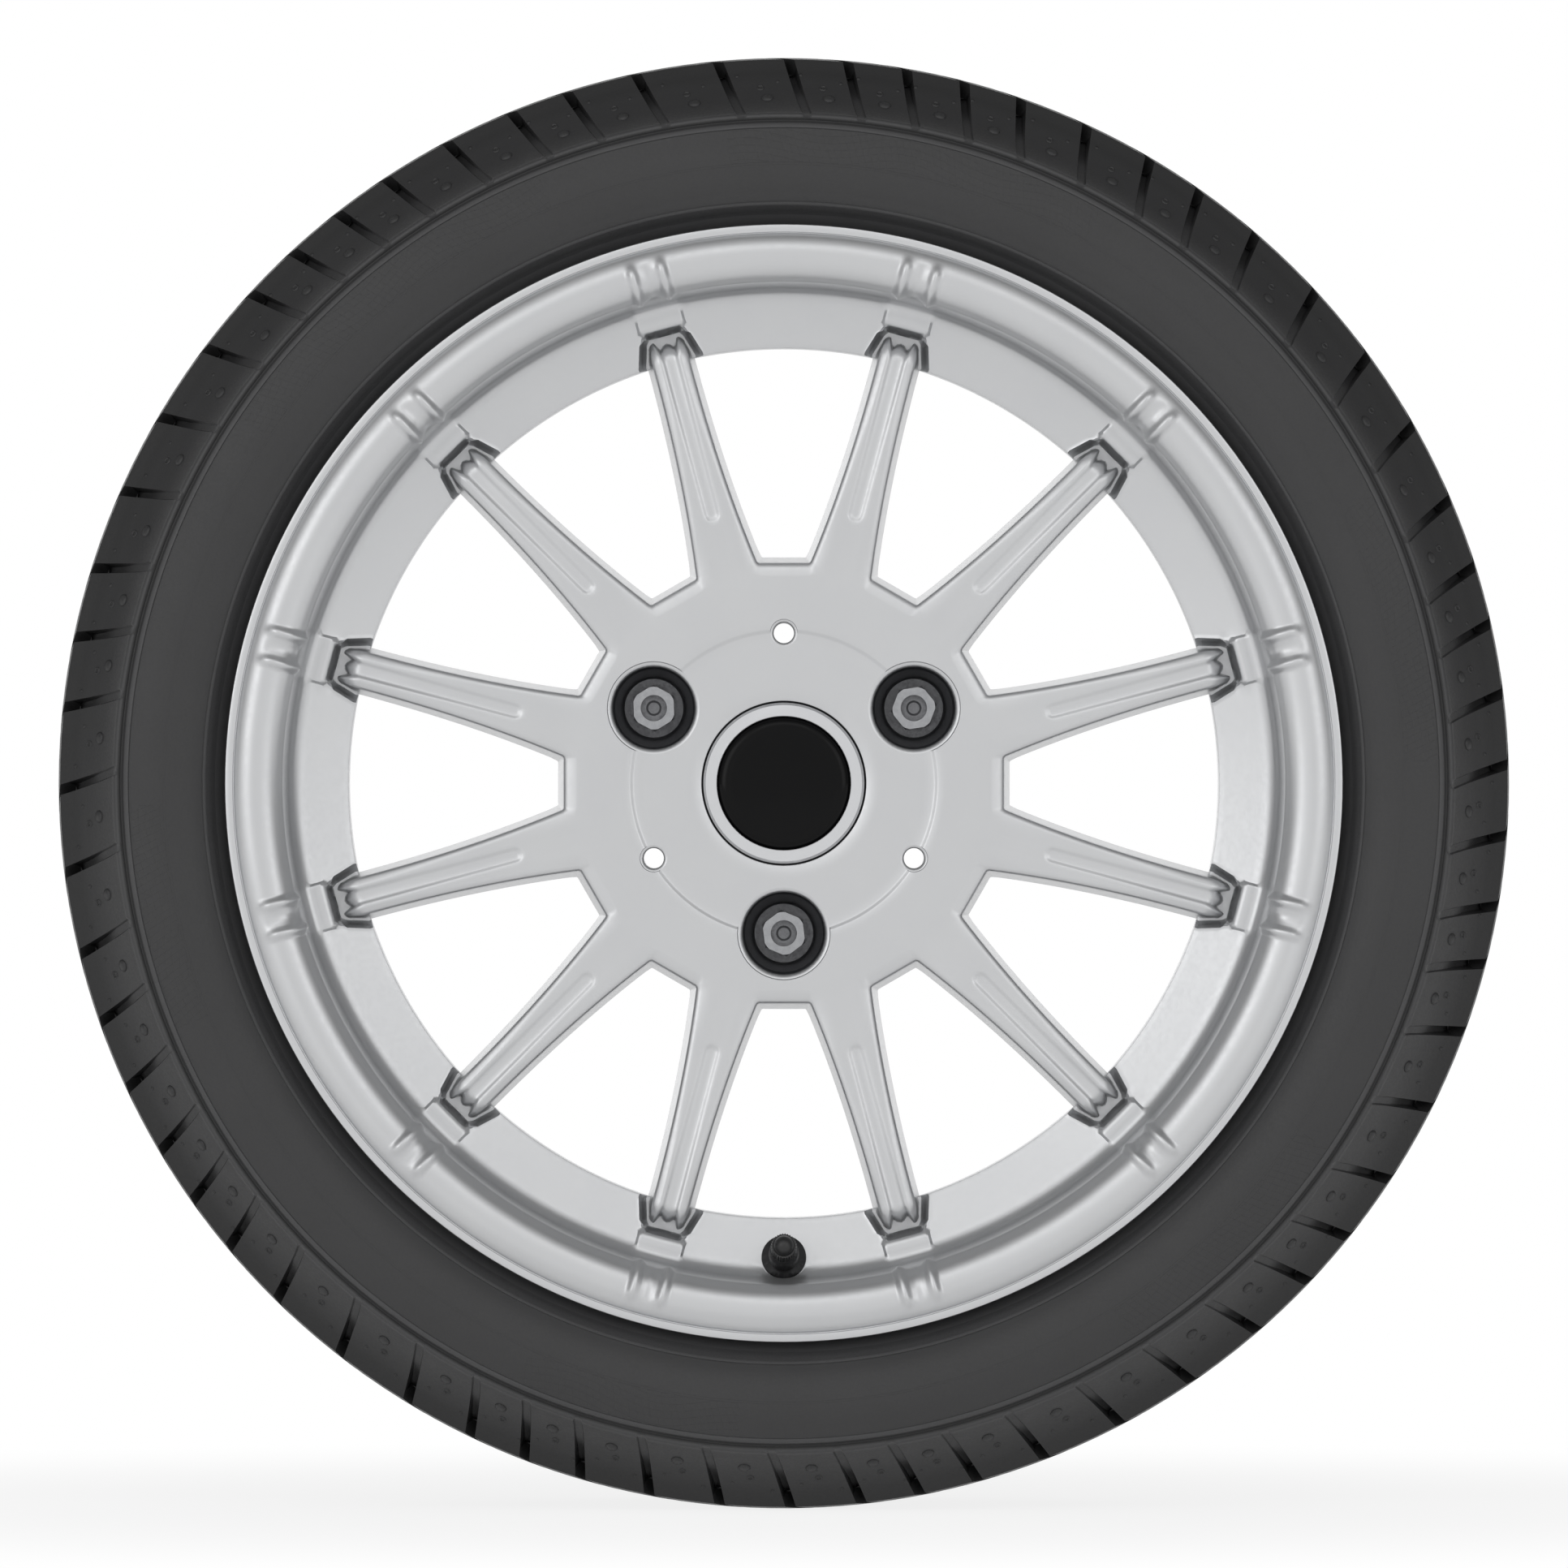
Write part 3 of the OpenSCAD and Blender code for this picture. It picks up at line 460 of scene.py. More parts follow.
def sheet(bm: BMesh, rows: Sequence[Sequence[Point | None]], ring: bool = False) -> None:
    """Lay a grid over rows of points.

    Args:
        bm: the mesh that takes the grid.
        rows: points in millimetres, all rows the same length; None leaves a gap.
        ring: whether the last row joins the first.
    """
    rows = list(rows) + ([rows[0]] if ring else [])
    nx, ny = len(rows[0]) - 1, len(rows) - 1
    made = bmesh.ops.create_grid(bm, x_segments=nx, y_segments=ny, size=1.0)["verts"]
    gaps = []
    for vert in made:
        i = round((vert.co.y + 1.0) / 2.0 * ny)
        j = round((vert.co.x + 1.0) / 2.0 * nx)
        point = rows[i][j]
        if point is None:
            gaps.append(vert)
        else:
            u, v, z = point
            vert.co = (v * MM, -z * MM, u * MM)
    if gaps:
        bmesh.ops.delete(bm, geom=gaps, context="VERTS")


def piece(name: str, bm: BMesh, sharp: float = 38.0) -> Object:
    """Turn a bmesh into an object of the scene.

    Args:
        name: the piece's name.
        bm: its mesh in metres, which is freed.
        sharp: edges that turn by more than this many degrees stay crisp.

    Returns:
        The object, shaded smooth.
    """
    mesh = bpy.data.meshes.new(name)
    bm.to_mesh(mesh)
    bm.free()
    mesh.shade_smooth()
    mesh.set_sharp_from_angle(angle=math.radians(sharp))
    obj = bpy.data.objects.new(name, mesh)
    bpy.context.scene.collection.objects.link(obj)
    return obj


def close_up(bm: BMesh, gap_mm: float = 0.002) -> None:
    """Merge doubles, drop faces without area and turn all faces outwards.

    Args:
        bm: the mesh.
        gap_mm: largest distance of points that count as one.
    """
    bmesh.ops.remove_doubles(bm, verts=bm.verts, dist=gap_mm * MM)
    bmesh.ops.dissolve_degenerate(bm, dist=gap_mm * MM, edges=bm.edges)
    bmesh.ops.recalc_face_normals(bm, faces=bm.faces)


def turned(outline: Sequence[Pair], steps: int = 96, closed: bool = True) -> BMesh:
    """Spin an outline around the axle.

    Args:
        outline: radius and height of each point, in millimetres.
        steps: number of steps around.
        closed: whether the outline is a loop. An open one starts and ends on the axle.

    Returns:
        A bmesh in metres around the Y axis, front side towards -Y.
    """
    bm = bmesh.new()
    verts = [bm.verts.new((r * MM, -z * MM, 0.0)) for r, z in outline]
    pairs = list(zip(verts, verts[1:])) + ([(verts[-1], verts[0])] if closed else [])
    edges = [bm.edges.new(pair) for pair in pairs]
    bmesh.ops.spin(
        bm, geom=verts + edges, cent=(0, 0, 0), axis=(0, 1, 0), angle=2 * math.pi, steps=steps,
        use_merge=True,
    )
    close_up(bm)
    return bm


def dressed_copy(node: str, name: str, bevel_mm: float, sharp: float = 35.0) -> Object:
    """Copy a CAD node, join its loose triangles and round its edges.

    Args:
        node: name of the CAD node.
        name: name of the new piece.
        bevel_mm: width of the rounded edges.
        sharp: edges that turn by more than this many degrees are rounded.

    Returns:
        The new object.
    """
    bm = bmesh.new()
    bm.from_mesh(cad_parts[node].data)
    bmesh.ops.remove_doubles(bm, verts=bm.verts, dist=0.004 * MM)
    bmesh.ops.dissolve_degenerate(bm, dist=0.004 * MM, edges=bm.edges)
    bmesh.ops.dissolve_limit(
        bm, angle_limit=math.radians(1.0), verts=bm.verts, edges=bm.edges, use_dissolve_boundaries=False
    )
    obj = piece(name, bm, 40.0)
    bevel = obj.modifiers.new("rounded_edges", "BEVEL")
    bevel.width = bevel_mm * MM
    bevel.segments = 3
    bevel.limit_method = "ANGLE"
    bevel.angle_limit = math.radians(sharp)
    bevel.harden_normals = True
    bevel.use_clamp_overlap = True
    return obj


def dress(obj: Object, body: Body, finishes: Sequence[Material]) -> None:
    """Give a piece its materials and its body.

    Args:
        obj: the piece.
        body: the body that it rides on.
        finishes: its materials in order; none keeps what it has.
    """
    if finishes:
        obj.data.materials.clear()
        for material in finishes:
            obj.data.materials.append(material)
    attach(obj, body.value)
    LOG.info("%s: %d vertices", obj.name, len(obj.data.vertices))


# The casting


@dataclass
class Casting:
    """The wheel itself: barrel, rolled lip with double ribs, dish with pockets, spokes and hub."""

    pitch: float = 30.0
    rim_r: float = 207.6
    roll_in: Pair = (186.8, 90.5)
    roll_out: Pair = (204.3, 92.45)
    roll_rise: float = 4.1
    roll_power: float = 2.5
    foot: Pair = (183.8, 67.55)
    dish_fall: float = 0.24933
    barrel_r: float = 162.2
    rib_middle: float = 5.55
    rib_spread: float = 3.1
    rib_h: float = 1.8
    rib_end_r: float = 200.4
    face_z: float = 68.05
    back_z: float = 43.05
    mount_z: float = 28.0
    window_r: float = 81.8
    spoke_w: float = 13.4
    spoke_flare: float = 9.6
    edge_r: float = 2.1
    # how much of that rounding lies inside the outline of the flat top
    edge_in: float = 0.82 * edge_r
    draft: float = math.tan(math.radians(5.0))
    channel_half: float = 2.65
    channel_d: float = 0.75
    channel_r: float = 101.0
    nose_start: float = 163.5
    nose_tip: float = 170.9
    nose_drop: float = 7.0
    floor_z: float = 52.66
    pocket_r: float = 174.7
    pocket_half: float = 8.1
    pocket_open: float = math.tan(math.radians(17.0))
    pocket_corner: float = 2.4
    pad_z: float = 67.95
    cap_r: float = 30.6
    bore_r: float = 28.55
    step_d: float = 1.0
    pcd_r: float = 56.0
    corner_r: float = 3.3
    # where a window's rounded corner meets the spoke, and how the spoke runs there
    touch_u: float = 83.0
    touch_slope: float = 0.1351
    # the columns of a row: how many there are, and which is the last one of each part
    cols: int = 27
    top: int = 8
    flank: int = 13
    floor: int = 15
    wall: int = 17

    # Lines that everything follows

    def spoke_half(self, u: float) -> float:
        """Return half the width of a spoke at the distance u from the axle."""
        share = max(0.0, self.nose_start - u) / (self.nose_start - self.window_r)
        return self.spoke_w / 2.0 + self.spoke_flare / 2.0 * share**2.3

    def edge_v(self, u: float) -> float:
        """Return how far from its middle a spoke's flat top ends and its rounded edge starts."""
        return self.spoke_half(u) - self.edge_in

    def dish_z(self, r: float) -> float:
        """Return the height of the dish at a radius."""
        return self.foot[1] - (self.foot[0] - r) * self.dish_fall

    def top_z(self, u: float) -> float:
        """Return the height of a spoke's top line."""
        table = ((81.8, 68.05), (101.8, 68.45), (143.5, 69.05), (163.5, 68.45))
        return follow(table, u)

    def under_z(self, r: float) -> float:
        """Return the height of the casting's back between hub and barrel."""
        return follow(((75.0, 31.0), (87.8, 42.05), (156.2, 43.05)), r, smooth=False)

    def channel(self, u: float, v: float) -> float:
        """Return how deep the channel of a spoke is at a point.

        Args:
            u: distance from the axle along the spoke.
            v: distance to its side.

        Returns:
            The depth.
        """
        start = self.channel_r + self.channel_half
        reach = abs(v) if u > start else math.hypot(start - u, v)
        return self.channel_d * ease((self.channel_half + 0.5 - reach) / 1.75)

    def crest(self, u: float, v: float) -> float:
        """Return the height of a spoke's top, with its channel and its softly rounded side ridges.

        Args:
            u: distance from the axle along the spoke.
            v: distance to its side.

        Returns:
            The height.
        """
        edge = self.edge_v(u)
        middle = (edge + self.channel_half) / 2.0
        spread = (abs(v) - middle) / max(0.5, edge - middle)
        soft = lerp(0.08, 0.45, ease((u - 115.0) / 45.0))
        fall = soft * spread * spread if abs(v) > self.channel_half else soft
        near_window = 0.3 * ease((abs(v) - edge + 2.7) / 2.7) * ease((104.0 - u) / 20.0)
        return self.top_z(u) - self.channel(u, v) - fall * 0.8 - near_window

    def lateral(self, u: float, edge: float | None = None) -> list[float]:
        """Return the side distances of the columns on a spoke's top.

        Args:
            u: distance from the axle along the spoke.
            edge: where the flat top ends, if not as usual there.

        Returns:
            The distances, from the middle to the edge.
        """
        edge = self.edge_v(u) if edge is None else edge
        inner = [0.0, 1.4, 2.0, 2.6, 3.2]
        return inner + [lerp(inner[-1], edge, t) for t in (0.3, 0.58, 0.82, 1.0)]

    # The window's wall

    def bend(self, depth: float, step: int) -> Pair:
        """Return a point of the rounded corner between the hub side and the spoke side of a window.

        Args:
            depth: how far the outline has moved into the window.
            step: 0 at the hub side to 5 at the spoke side.

        Returns:
            The point's distance along the spoke and to its side.
        """
        a0 = math.radians(self.pitch / 2.0)
        a1 = math.pi / 2.0 - math.atan(self.touch_slope)
        hub = (math.cos(a0), math.sin(a0))
        side = (math.cos(a1), math.sin(a1))
        radius = max(self.corner_r - depth, 0.7)
        at_hub = self.window_r - self.edge_in + depth + radius
        at_side = side[0] * self.touch_u + side[1] * self.edge_v(self.touch_u) + depth + radius
        det = hub[0] * side[1] - hub[1] * side[0]
        cu = (at_hub * side[1] - hub[1] * at_side) / det
        cv = (hub[0] * at_side - side[0] * at_hub) / det
        a = lerp(a0, a1, step / 5.0)
        return (cu - radius * math.cos(a), cv - radius * math.sin(a))

    def hub_side(self, depth: float, share: float) -> Pair:
        """Return a point of a window's straight hub side, share 0 at its corner and 1 at its middle.

        Args:
            depth: how far the outline has moved into the window.
            share: where the point lies.

        Returns:
            The point's distance along the spoke and to its side.
        """
        u0, v0 = self.bend(depth, 0)
        reach = self.window_r - self.edge_in + depth
        a = math.radians(self.pitch / 2.0)
        return (lerp(u0, reach * math.cos(a), share), lerp(v0, reach * math.sin(a), share))

    def window_line(self, depth: float, rows: Sequence[float]) -> list[Pair]:
        """Return the outline of half a window, from its middle at the hub to the outer end of the spoke.

        Args:
            depth: how far the outline has moved into the window.
            rows: distances of the spoke's rows.

        Returns:
            The points in the plane of the wheel.
        """
        line = [self.hub_side(depth, (j - 11) / 15.0) for j in range(self.cols - 1, 11, -1)]
        line += [self.bend(depth, step) for step in range(6)]
        for u in rows:
            slope = (self.edge_v(u + 0.5) - self.edge_v(u - 0.5)) if u < self.nose_start - 1 else 0.0
            length = math.hypot(1.0, slope)
            line.append((u - slope / length * depth, self.edge_v(u) + depth / length))
        return line

    def wall_rings(self) -> list[tuple[float, float | None, float]]:
        """Return each ring of the window's wall: way into the window, drop below the top, height or -1.

        Returns:
            The rings from front to back.
        """
        r = self.edge_r
        rings: list[tuple[float, float | None, float]] = [(0.0, 0.0, -1.0)]
        for a in (30.0, 60.0, 85.0):
            rings.append((r * math.sin(math.radians(a)), r * (1.0 - math.cos(math.radians(a))), -1.0))
        for z in (60.5, self.floor_z, self.floor_z - 0.35, self.floor_z - 1.2):
            rings.append((r + (self.face_z - r - z) * self.draft, None, z))
        return rings

    # Rows of the front

    def spoke_row(self, u: float, edge: float | None = None) -> Row:
        """Return a row of a spoke's top, with gaps where the window is."""
        vs = self.lateral(u, edge)
        return [(u, v, self.crest(u, v)) for v in vs] + [None] * (self.cols - self.top - 1)

    def hub_points(self) -> list[Pair]:
        """Return the plan of the row at the hub side of the windows.

        Returns:
            Distance along the spoke and to its side of each point.
        """
        u8, v8 = self.bend(0.0, 3)
        points = [(u8, v) for v in self.lateral(u8, v8)]
        points += [self.bend(0.0, 2), self.bend(0.0, 1), self.bend(0.0, 0)]
        points += [self.hub_side(0.0, (j - 11) / 15.0) for j in range(12, self.cols)]
        return points

    def hub_row(self, plan: Sequence[Pair], shift: float, z: float | None) -> list[Point]:
        """Return the window row moved towards the axle, level at z or on the tops of the spokes.

        Args:
            plan: the window row.
            shift: how far it moves.
            z: its height; None follows the spokes.

        Returns:
            The row's points.
        """
        row = []
        for j, (u, v) in enumerate(plan):
            r = math.hypot(u, v)
            k = (r - shift) / r
            on_top = self.crest(u, min(v, self.edge_v(u))) - 0.3 * ease((j - 8) / 2.0)
            row.append((u * k, v * k, on_top if z is None else z))
        return row

    def round_row(self, plan: Sequence[Pair], r: float, z: float) -> list[Point]:
        """Return a row of constant radius with the columns' angles of the window row."""
        return [(r * u / math.hypot(u, v), r * v / math.hypot(u, v), z) for u, v in plan]

    def tip(self, v: float) -> float:
        """Return how far the nose of a spoke reaches at a side distance."""
        back = (
            (0.0, 1.5), (1.3, 1.9), (2.65, 3.4), (4.3, 0.3), (5.0, 0.0), (6.0, 0.7), (7.2, 2.6), (8.4, 4.6),
        )
        return self.nose_tip - follow(back, abs(v), smooth=False)

    def side_wall(self, u: float, inset: float) -> float:
        """Return the side distance of a pocket's side wall.

        Args:
            u: distance from the axle.
            inset: how far the wall leans in there.

        Returns:
            The side distance.
        """
        v = self.pocket_half + (self.pocket_r - u) * self.pocket_open
        bite = u - (self.pocket_r - self.pocket_corner)
        if bite > 0.0:
            v -= self.pocket_corner - math.sqrt(max(0.0, self.pocket_corner**2 - bite**2))
        return v - inset

    def far_columns(self, rho: float, start: float, first: int) -> list[Point]:
        """Return the dish's part of a row, from a side distance to the middle of the window.

        Args:
            rho: radius of the row.
            start: side distance of its first point.
            first: number of its first column.

        Returns:
            The points of the row's last columns.
        """
        a0 = math.asin(min(1.0, start / rho))
        a1 = math.radians(self.pitch / 2.0)
        row = []
        for j in range(first, self.cols):
            a = lerp(a0, a1, ((j - first) / (self.cols - 1 - first)) ** 1.25)
            row.append((rho * math.cos(a), rho * math.sin(a), self.dish_z(rho)))
        return row

    def nose_row(self, s: float, sink: float, rho: float) -> list[Point]:
        """Return a row across a spoke's nose, its pocket and the dish beside it.

        Args:
            s: 0 where the nose starts to turn down, 1 at its tip.
            sink: share of the drop from the nose's lower edge to the floor, 0 to 1.
            rho: radius of the row on the dish.

        Returns:
            The row's points.
        """
        row: list[Point] = []
        turn = s * math.pi / 2.0
        drop = self.nose_drop * (1.0 - math.cos(turn))
        edge = self.edge_v(self.nose_start)
        r = self.edge_r
        rings = [(r * math.sin(math.radians(a)), r * (1 - math.cos(math.radians(a)))) for a in (30, 60, 85)]
        spread = [(v, 0.0) for v in self.lateral(self.nose_start, edge)]
        spread += [(edge + out, low) for out, low in rings]
        spread += [(edge + r + 0.6, 8.0), (edge + r + 1.15, 15.8)]
        for j, (v, low) in enumerate(spread):
            tuck = 1.0 - 0.16 * ease(s) * ease((j - 6) / 7.0) * (1.0 if j > 6 else 0.0)
            v = v * tuck
            reach = self.tip(v) - self.nose_start
            u = self.nose_start + reach * math.sin(turn) + 0.5 * sink
            z = self.crest(self.nose_start, min(abs(v), edge)) - drop - low * (1.0 if j > self.top else 0.0)
            z = lerp(z, self.floor_z, sink)
            row.append((u, v, max(z, self.floor_z)))
        return self.with_side(row, rho, 0.0)

    def with_side(self, row: list[Point], rho: float, level: float) -> list[Point]:
        """Add floor, side wall and dish to a row that ends at a spoke's foot or on the back wall.

        Args:
            row: the row so far.
            rho: radius of the row on the dish.
            level: share of the pad's height.

        Returns:
            The whole row.
        """
        u13, v13, _ = row[self.flank]
        top_u = rho - self.side_wall(rho, 0.0) ** 2 / (2.0 * rho)
        for j, share in ((14, 0.5), (15, 1.0)):
            v = lerp(v13, self.side_wall(top_u, 2.2), share)
            row.append((lerp(u13, top_u, share), v, self.floor_z))
        row.append((top_u, self.side_wall(top_u, 0.95), lerp(self.floor_z, self.dish_z(rho) - 0.9, 0.6)))
        row.append((top_u, self.side_wall(top_u, 0.0), self.dish_z(rho) - 0.9))
        return self.with_bead(row, rho, level)

    def with_bead(self, row: list[Point], rho: float, pad: float) -> list[Point]:
        """Add the thin raised line beside a pocket, or the pad's edge, and the dish.

        Args:
            row: the row so far.
            rho: radius of the row on the dish.
            pad: share of the pad's height.

        Returns:
            The whole row.
        """
        u, v, _ = row[self.wall]
        z = self.dish_z(rho)
        rise = lerp(z + 0.28, self.pad_z, pad)
        row.append((u, v + 0.75, rise))
        row.append((u, v + 1.5, z + 0.02))
        return row + self.far_columns(rho, v + 2.4, 20)

    def back_row(self, level: int, rho: float) -> list[Point]:
        """Return a row up the back wall of a pocket, level 0 at its foot to 3 at its top.

        Args:
            level: number of the row.
            rho: radius of the row on the dish.

        Returns:
            The row's points.
        """
        heights = (self.floor_z, 58.2, 59.6, 66.2)
        insets = (2.1, 1.55, 0.75, 0.0)
        cu, cv = self.pocket_r - self.pocket_corner, self.pocket_half - self.pocket_corner

        def corner(a: int, b: float) -> Point:
            """Return a point of the pocket's corner.

            Args:
                a: level on the back wall.
                b: 0 on the back wall to 3 on the side wall.

            Returns:
                The point.
            """
            high = max(float(a), b)
            i = min(2, int(high))
            inset = lerp(insets[i], insets[i + 1], high - i)
            z = lerp(heights[i], heights[i + 1], high - i)
            psi = math.radians(45.0 + 42.0 * (a - b) / 3.0)
            radius = self.pocket_corner - inset
            return (cu + radius * math.sin(psi), cv + radius * math.cos(psi), z)

        row: list[Point] = []
        first = corner(level, 0.0)
        for j in range(self.floor):
            beyond = lerp(self.edge_v(170.0), first[1], (j - 8) / 7)
            v = self.lateral(self.nose_start)[j] if j <= self.top else beyond
            dent = -0.5 * ease((3.2 - v) / 1.2) if level in (1, 2) else 0.0
            row.append((first[0] + 0.1 + dent, min(v, first[1]), heights[level]))
        row += [corner(level, b) for b in (0.0, 1.5, 3.0)]
        return self.with_bead(row, rho, 0.0)

    def pad_row(self, u: float, z: float, rho: float, pad: float) -> list[Point]:
        """Return a row across the flat pad outside a pocket and the dish beside it.

        Args:
            u: distance of the row from the axle.
            z: height of the pad.
            rho: radius of the row on the dish.
            pad: how far the row has come from pocket to pad, 0 to 1.

        Returns:
            The row's points.
        """
        row = []
        vs = self.lateral(self.nose_start)
        vs += [lerp(vs[-1], 7.6, (j - 8) / 9.0) for j in range(9, 18)]
        for v in vs:
            row.append((u - 0.012 * v, v, z))
        z_dish = self.dish_z(rho)
        row.append((u - 0.1, lerp(8.85, 8.3, pad), lerp(z_dish + 0.28, z - 0.12, pad)))
        row.append((u - 0.1, lerp(9.6, 9.25, pad), z_dish + 0.02))
        return row + self.far_columns(rho, 10.2, 20)

    def lip_row(
        self, r: float, z: float, blend: float, rib: float = 0.0, nx: float = 0.0, nz: float = 1.0
    ) -> list[Point]:
        """Return a row around the lip, with the columns gathered at the double rib.

        Args:
            r: radius of the row.
            z: its height.
            blend: 0 keeps the columns of the pad, 1 puts them where the rib needs them.
            rib: share of the rib's height that this row has.
            nx: part of the rib's rise that points outwards.
            nz: part of it that points to the front.

        Returns:
            The row's points.
        """
        pad = self.lateral(self.nose_start)
        pad += [lerp(pad[-1], 7.6, (j - 8) / 9.0) for j in range(9, 18)] + [8.3, 9.25]
        lip = [0.0, 1.3, 2.1, 2.6, 3.1, 3.7, 4.3, 4.9, 5.55, 6.2, 6.8, 7.4, 8.0, 8.5, 9.0, 9.6, 10.6]
        lip += [12.0, 14.6, 18.0]
        row: list[Point] = []
        vs = [lerp(a, b, blend) for a, b in zip(pad, lip)]
        a0 = math.asin((vs[-1] + lerp(0.95, 3.2, blend)) / r)
        a1 = math.radians(self.pitch / 2.0)
        power = lerp(1.25, 1.0, blend)
        angles = [math.asin(v / r) for v in vs]
        angles += [lerp(a0, a1, ((j - 20) / (self.cols - 21)) ** power) for j in range(20, self.cols)]
        for a in angles:
            v = r * math.sin(a)
            reach = math.hypot(v, max(0.0, r - self.rib_end_r + 2.4))
            side = min(1.0, abs(v - self.rib_middle) / self.rib_spread)
            h = self.rib_h * rib * ease(1.0 - side) - 0.7 * rib * ease((2.9 - reach) / 2.3)
            row.append(((r + nx * h) * math.cos(a), (r + nx * h) * math.sin(a), z + nz * h))
        return row

    # The whole

    def spoke_stations(self) -> list[float]:
        """Return where the rows of a spoke lie, beyond the rounded corner of the window."""
        return [86.0, 89.0, 92.5, 96.0, 99.0, 100.6, 101.5, 102.3, 103.1, 104.0, 106.0, 110.0, 115.0, 120.5,
                126.0, 131.5, 137.0, 142.5, 148.0, 153.0, 157.0, 160.0, 162.4]

    def front_rows(self) -> tuple[list[Row], int, int]:
        """Return all rows of the closed section and the numbers of its window rows.

        Returns:
            The rows, then the row at the hub side of the window and the row at its outer end.
        """
        plan = self.hub_points()
        rows: list[Row] = []
        hub_profile = [
            (29.55, self.mount_z), (self.bore_r, 29.0), (self.bore_r, 44.0), (29.75, 44.8), (29.75, 54.25),
            (27.85, 55.05), (27.85, 61.55), (28.35, 62.05), (self.cap_r, 62.05), (self.cap_r, 66.35),
            (30.75, 66.85), (31.1, 67.05), (36.0, 67.05), (44.0, 67.05), (52.0, 67.05),
            (55.7, 67.06), (56.4, 67.25), (57.05, 67.78), (57.7, 68.0), (60.5, 68.05), (66.0, 68.05),
            (72.0, 68.05),
        ]
        for r, z in hub_profile:
            rows.append(list(self.round_row(plan, r, z)))
        rows.append(list(self.hub_row(plan, 3.4, self.face_z)))
        rows.append(list(self.hub_row(plan, 2.5, self.face_z - 0.04)))
        hub_index = len(rows)
        rows.append(list(self.hub_row(plan, 0.0, None)))
        for step in (4, 5):
            u, v = self.bend(0.0, step)
            rows.append(self.spoke_row(u, v))
        for u in self.spoke_stations():
            rows.append(self.spoke_row(u))
        end_index = len(rows)
        rows.append(list(self.nose_row(0.0, 0.0, 163.4)))
        nose = ((0.25, 164.6), (0.45, 165.8), (0.62, 167.0), (0.76, 168.1), (0.88, 169.1), (1.0, 169.9))
        for s, rho in nose:
            rows.append(list(self.nose_row(s, 0.0, rho)))
        rows.append(list(self.nose_row(1.0, 0.92, 170.6)))
        rows.append(list(self.nose_row(1.0, 1.0, 171.3)))
        for level, rho in ((0, 172.3), (1, 173.1), (2, 173.8), (3, 174.4)):
            rows.append(list(self.back_row(level, rho)))
        pads = (
            (175.0, 66.85, 175.2, 0.3), (175.55, 67.35, 176.0, 0.6), (176.3, 67.75, 176.8, 0.9),
            (177.2, 67.95, 177.6, 1.0), (179.3, 68.0, 179.3, 1.0),
        )
        for u, z, rho, pad in pads:
            rows.append(list(self.pad_row(u, z, rho, pad)))
        fillet = arc((177.61, 73.22), 7.0, -62.0, -5.0, 4)
        pad_heights = (68.03, 68.4, 69.4, 70.9)
        for k, ((r, z), pad_height) in enumerate(zip(fillet, pad_heights)):
            rows.append(list(self.foot_row(r, max(z + 0.1, pad_height), z, 0.15 * k)))
        lip = (
            (184.58, 72.6, 0.7, 0.0), (185.05, 78.0, 1.0, 0.0), (185.5, 84.0, 1.0, 0.25),
            (185.85, 87.8, 1.0, 0.7), (186.05, 89.3, 1.0, 0.95), (186.3, 90.0, 1.0, 1.0),
        )
        for r, z, blend, rib in lip:
            rows.append(list(self.lip_row(r, z, blend, rib, -1.0, 0.3)))
        steps = 15
        roll = crown(self.roll_in, self.roll_out, self.roll_rise, steps, self.roll_power)
        for k, (r, z) in enumerate(roll):
            side = 1.0 - 2.0 * k / steps
            climb = 2.0 * self.roll_power * self.roll_rise * abs(side) ** (self.roll_power - 1.0)
            slope = math.copysign(math.atan2(climb, self.roll_out[0] - self.roll_in[0]), side)
            fade = 1.0 - ease((r - self.rib_end_r + 4.6) / 5.4)
            rows.append(list(self.lip_row(r, z, 1.0, fade, -math.sin(slope), math.cos(slope))))
        rim = [(204.5, 92.5), (204.58, 93.2), (204.8, 93.5), (205.2, 93.55), (206.9, 93.55), (207.35, 93.4),
               (207.56, 93.0), (self.rim_r, 91.9), (self.rim_r, 86.85)]
        rim += arc((203.3, 86.85), 4.3, -30, -90, 2)
        rim += arc((196.6, 76.05), 6.5, 90, 180, 3)
        rim += [(188.8, 61.55), (189.7, 59.5), (189.7, 57.5), (186.8, 54.5), (172.0, 47.0), (168.5, 41.5),
                (168.5, 13.55), (185.8, -32.4), (189.7, -57.5), (189.7, -59.5), (188.8, -61.55)]
        rim += arc((196.6, -76.05), 6.5, 180, 270, 3)
        rim += arc((203.3, -86.85), 4.3, 90, 30, 2)
        rim += [(self.rim_r, -86.85), (self.rim_r, -90.6), (207.0, -91.7), (206.1, -92.05), (198.9, -92.05),
                (194.0, -90.4), (189.1, -88.05), (185.4, -80.0), (184.1, -74.5), (183.1, -32.45),
                (163.3, 15.55), (self.barrel_r + 0.2, 34.0)]
        for r, z in rim:
            rows.append(list(self.lip_row(r, z, 1.0)))
        return rows, hub_index, end_index

    def foot_row(self, r: float, z_pad: float, z_dish: float, blend: float) -> list[Point]:
        """Return a row of the fillet between the dish with its pads and the wall of the lip.

        Args:
            r: radius of the row.
            z_pad: its height at the pad.
            z_dish: its height beside it.
            blend: how far its columns have come to the rib's.

        Returns:
            The row's points.
        """
        row = []
        for u, v, _ in self.lip_row(r, 0.0, blend):
            t = ease((v - 8.1) / 1.3)
            row.append((u, v, lerp(z_pad, z_dish, t)))
        return row

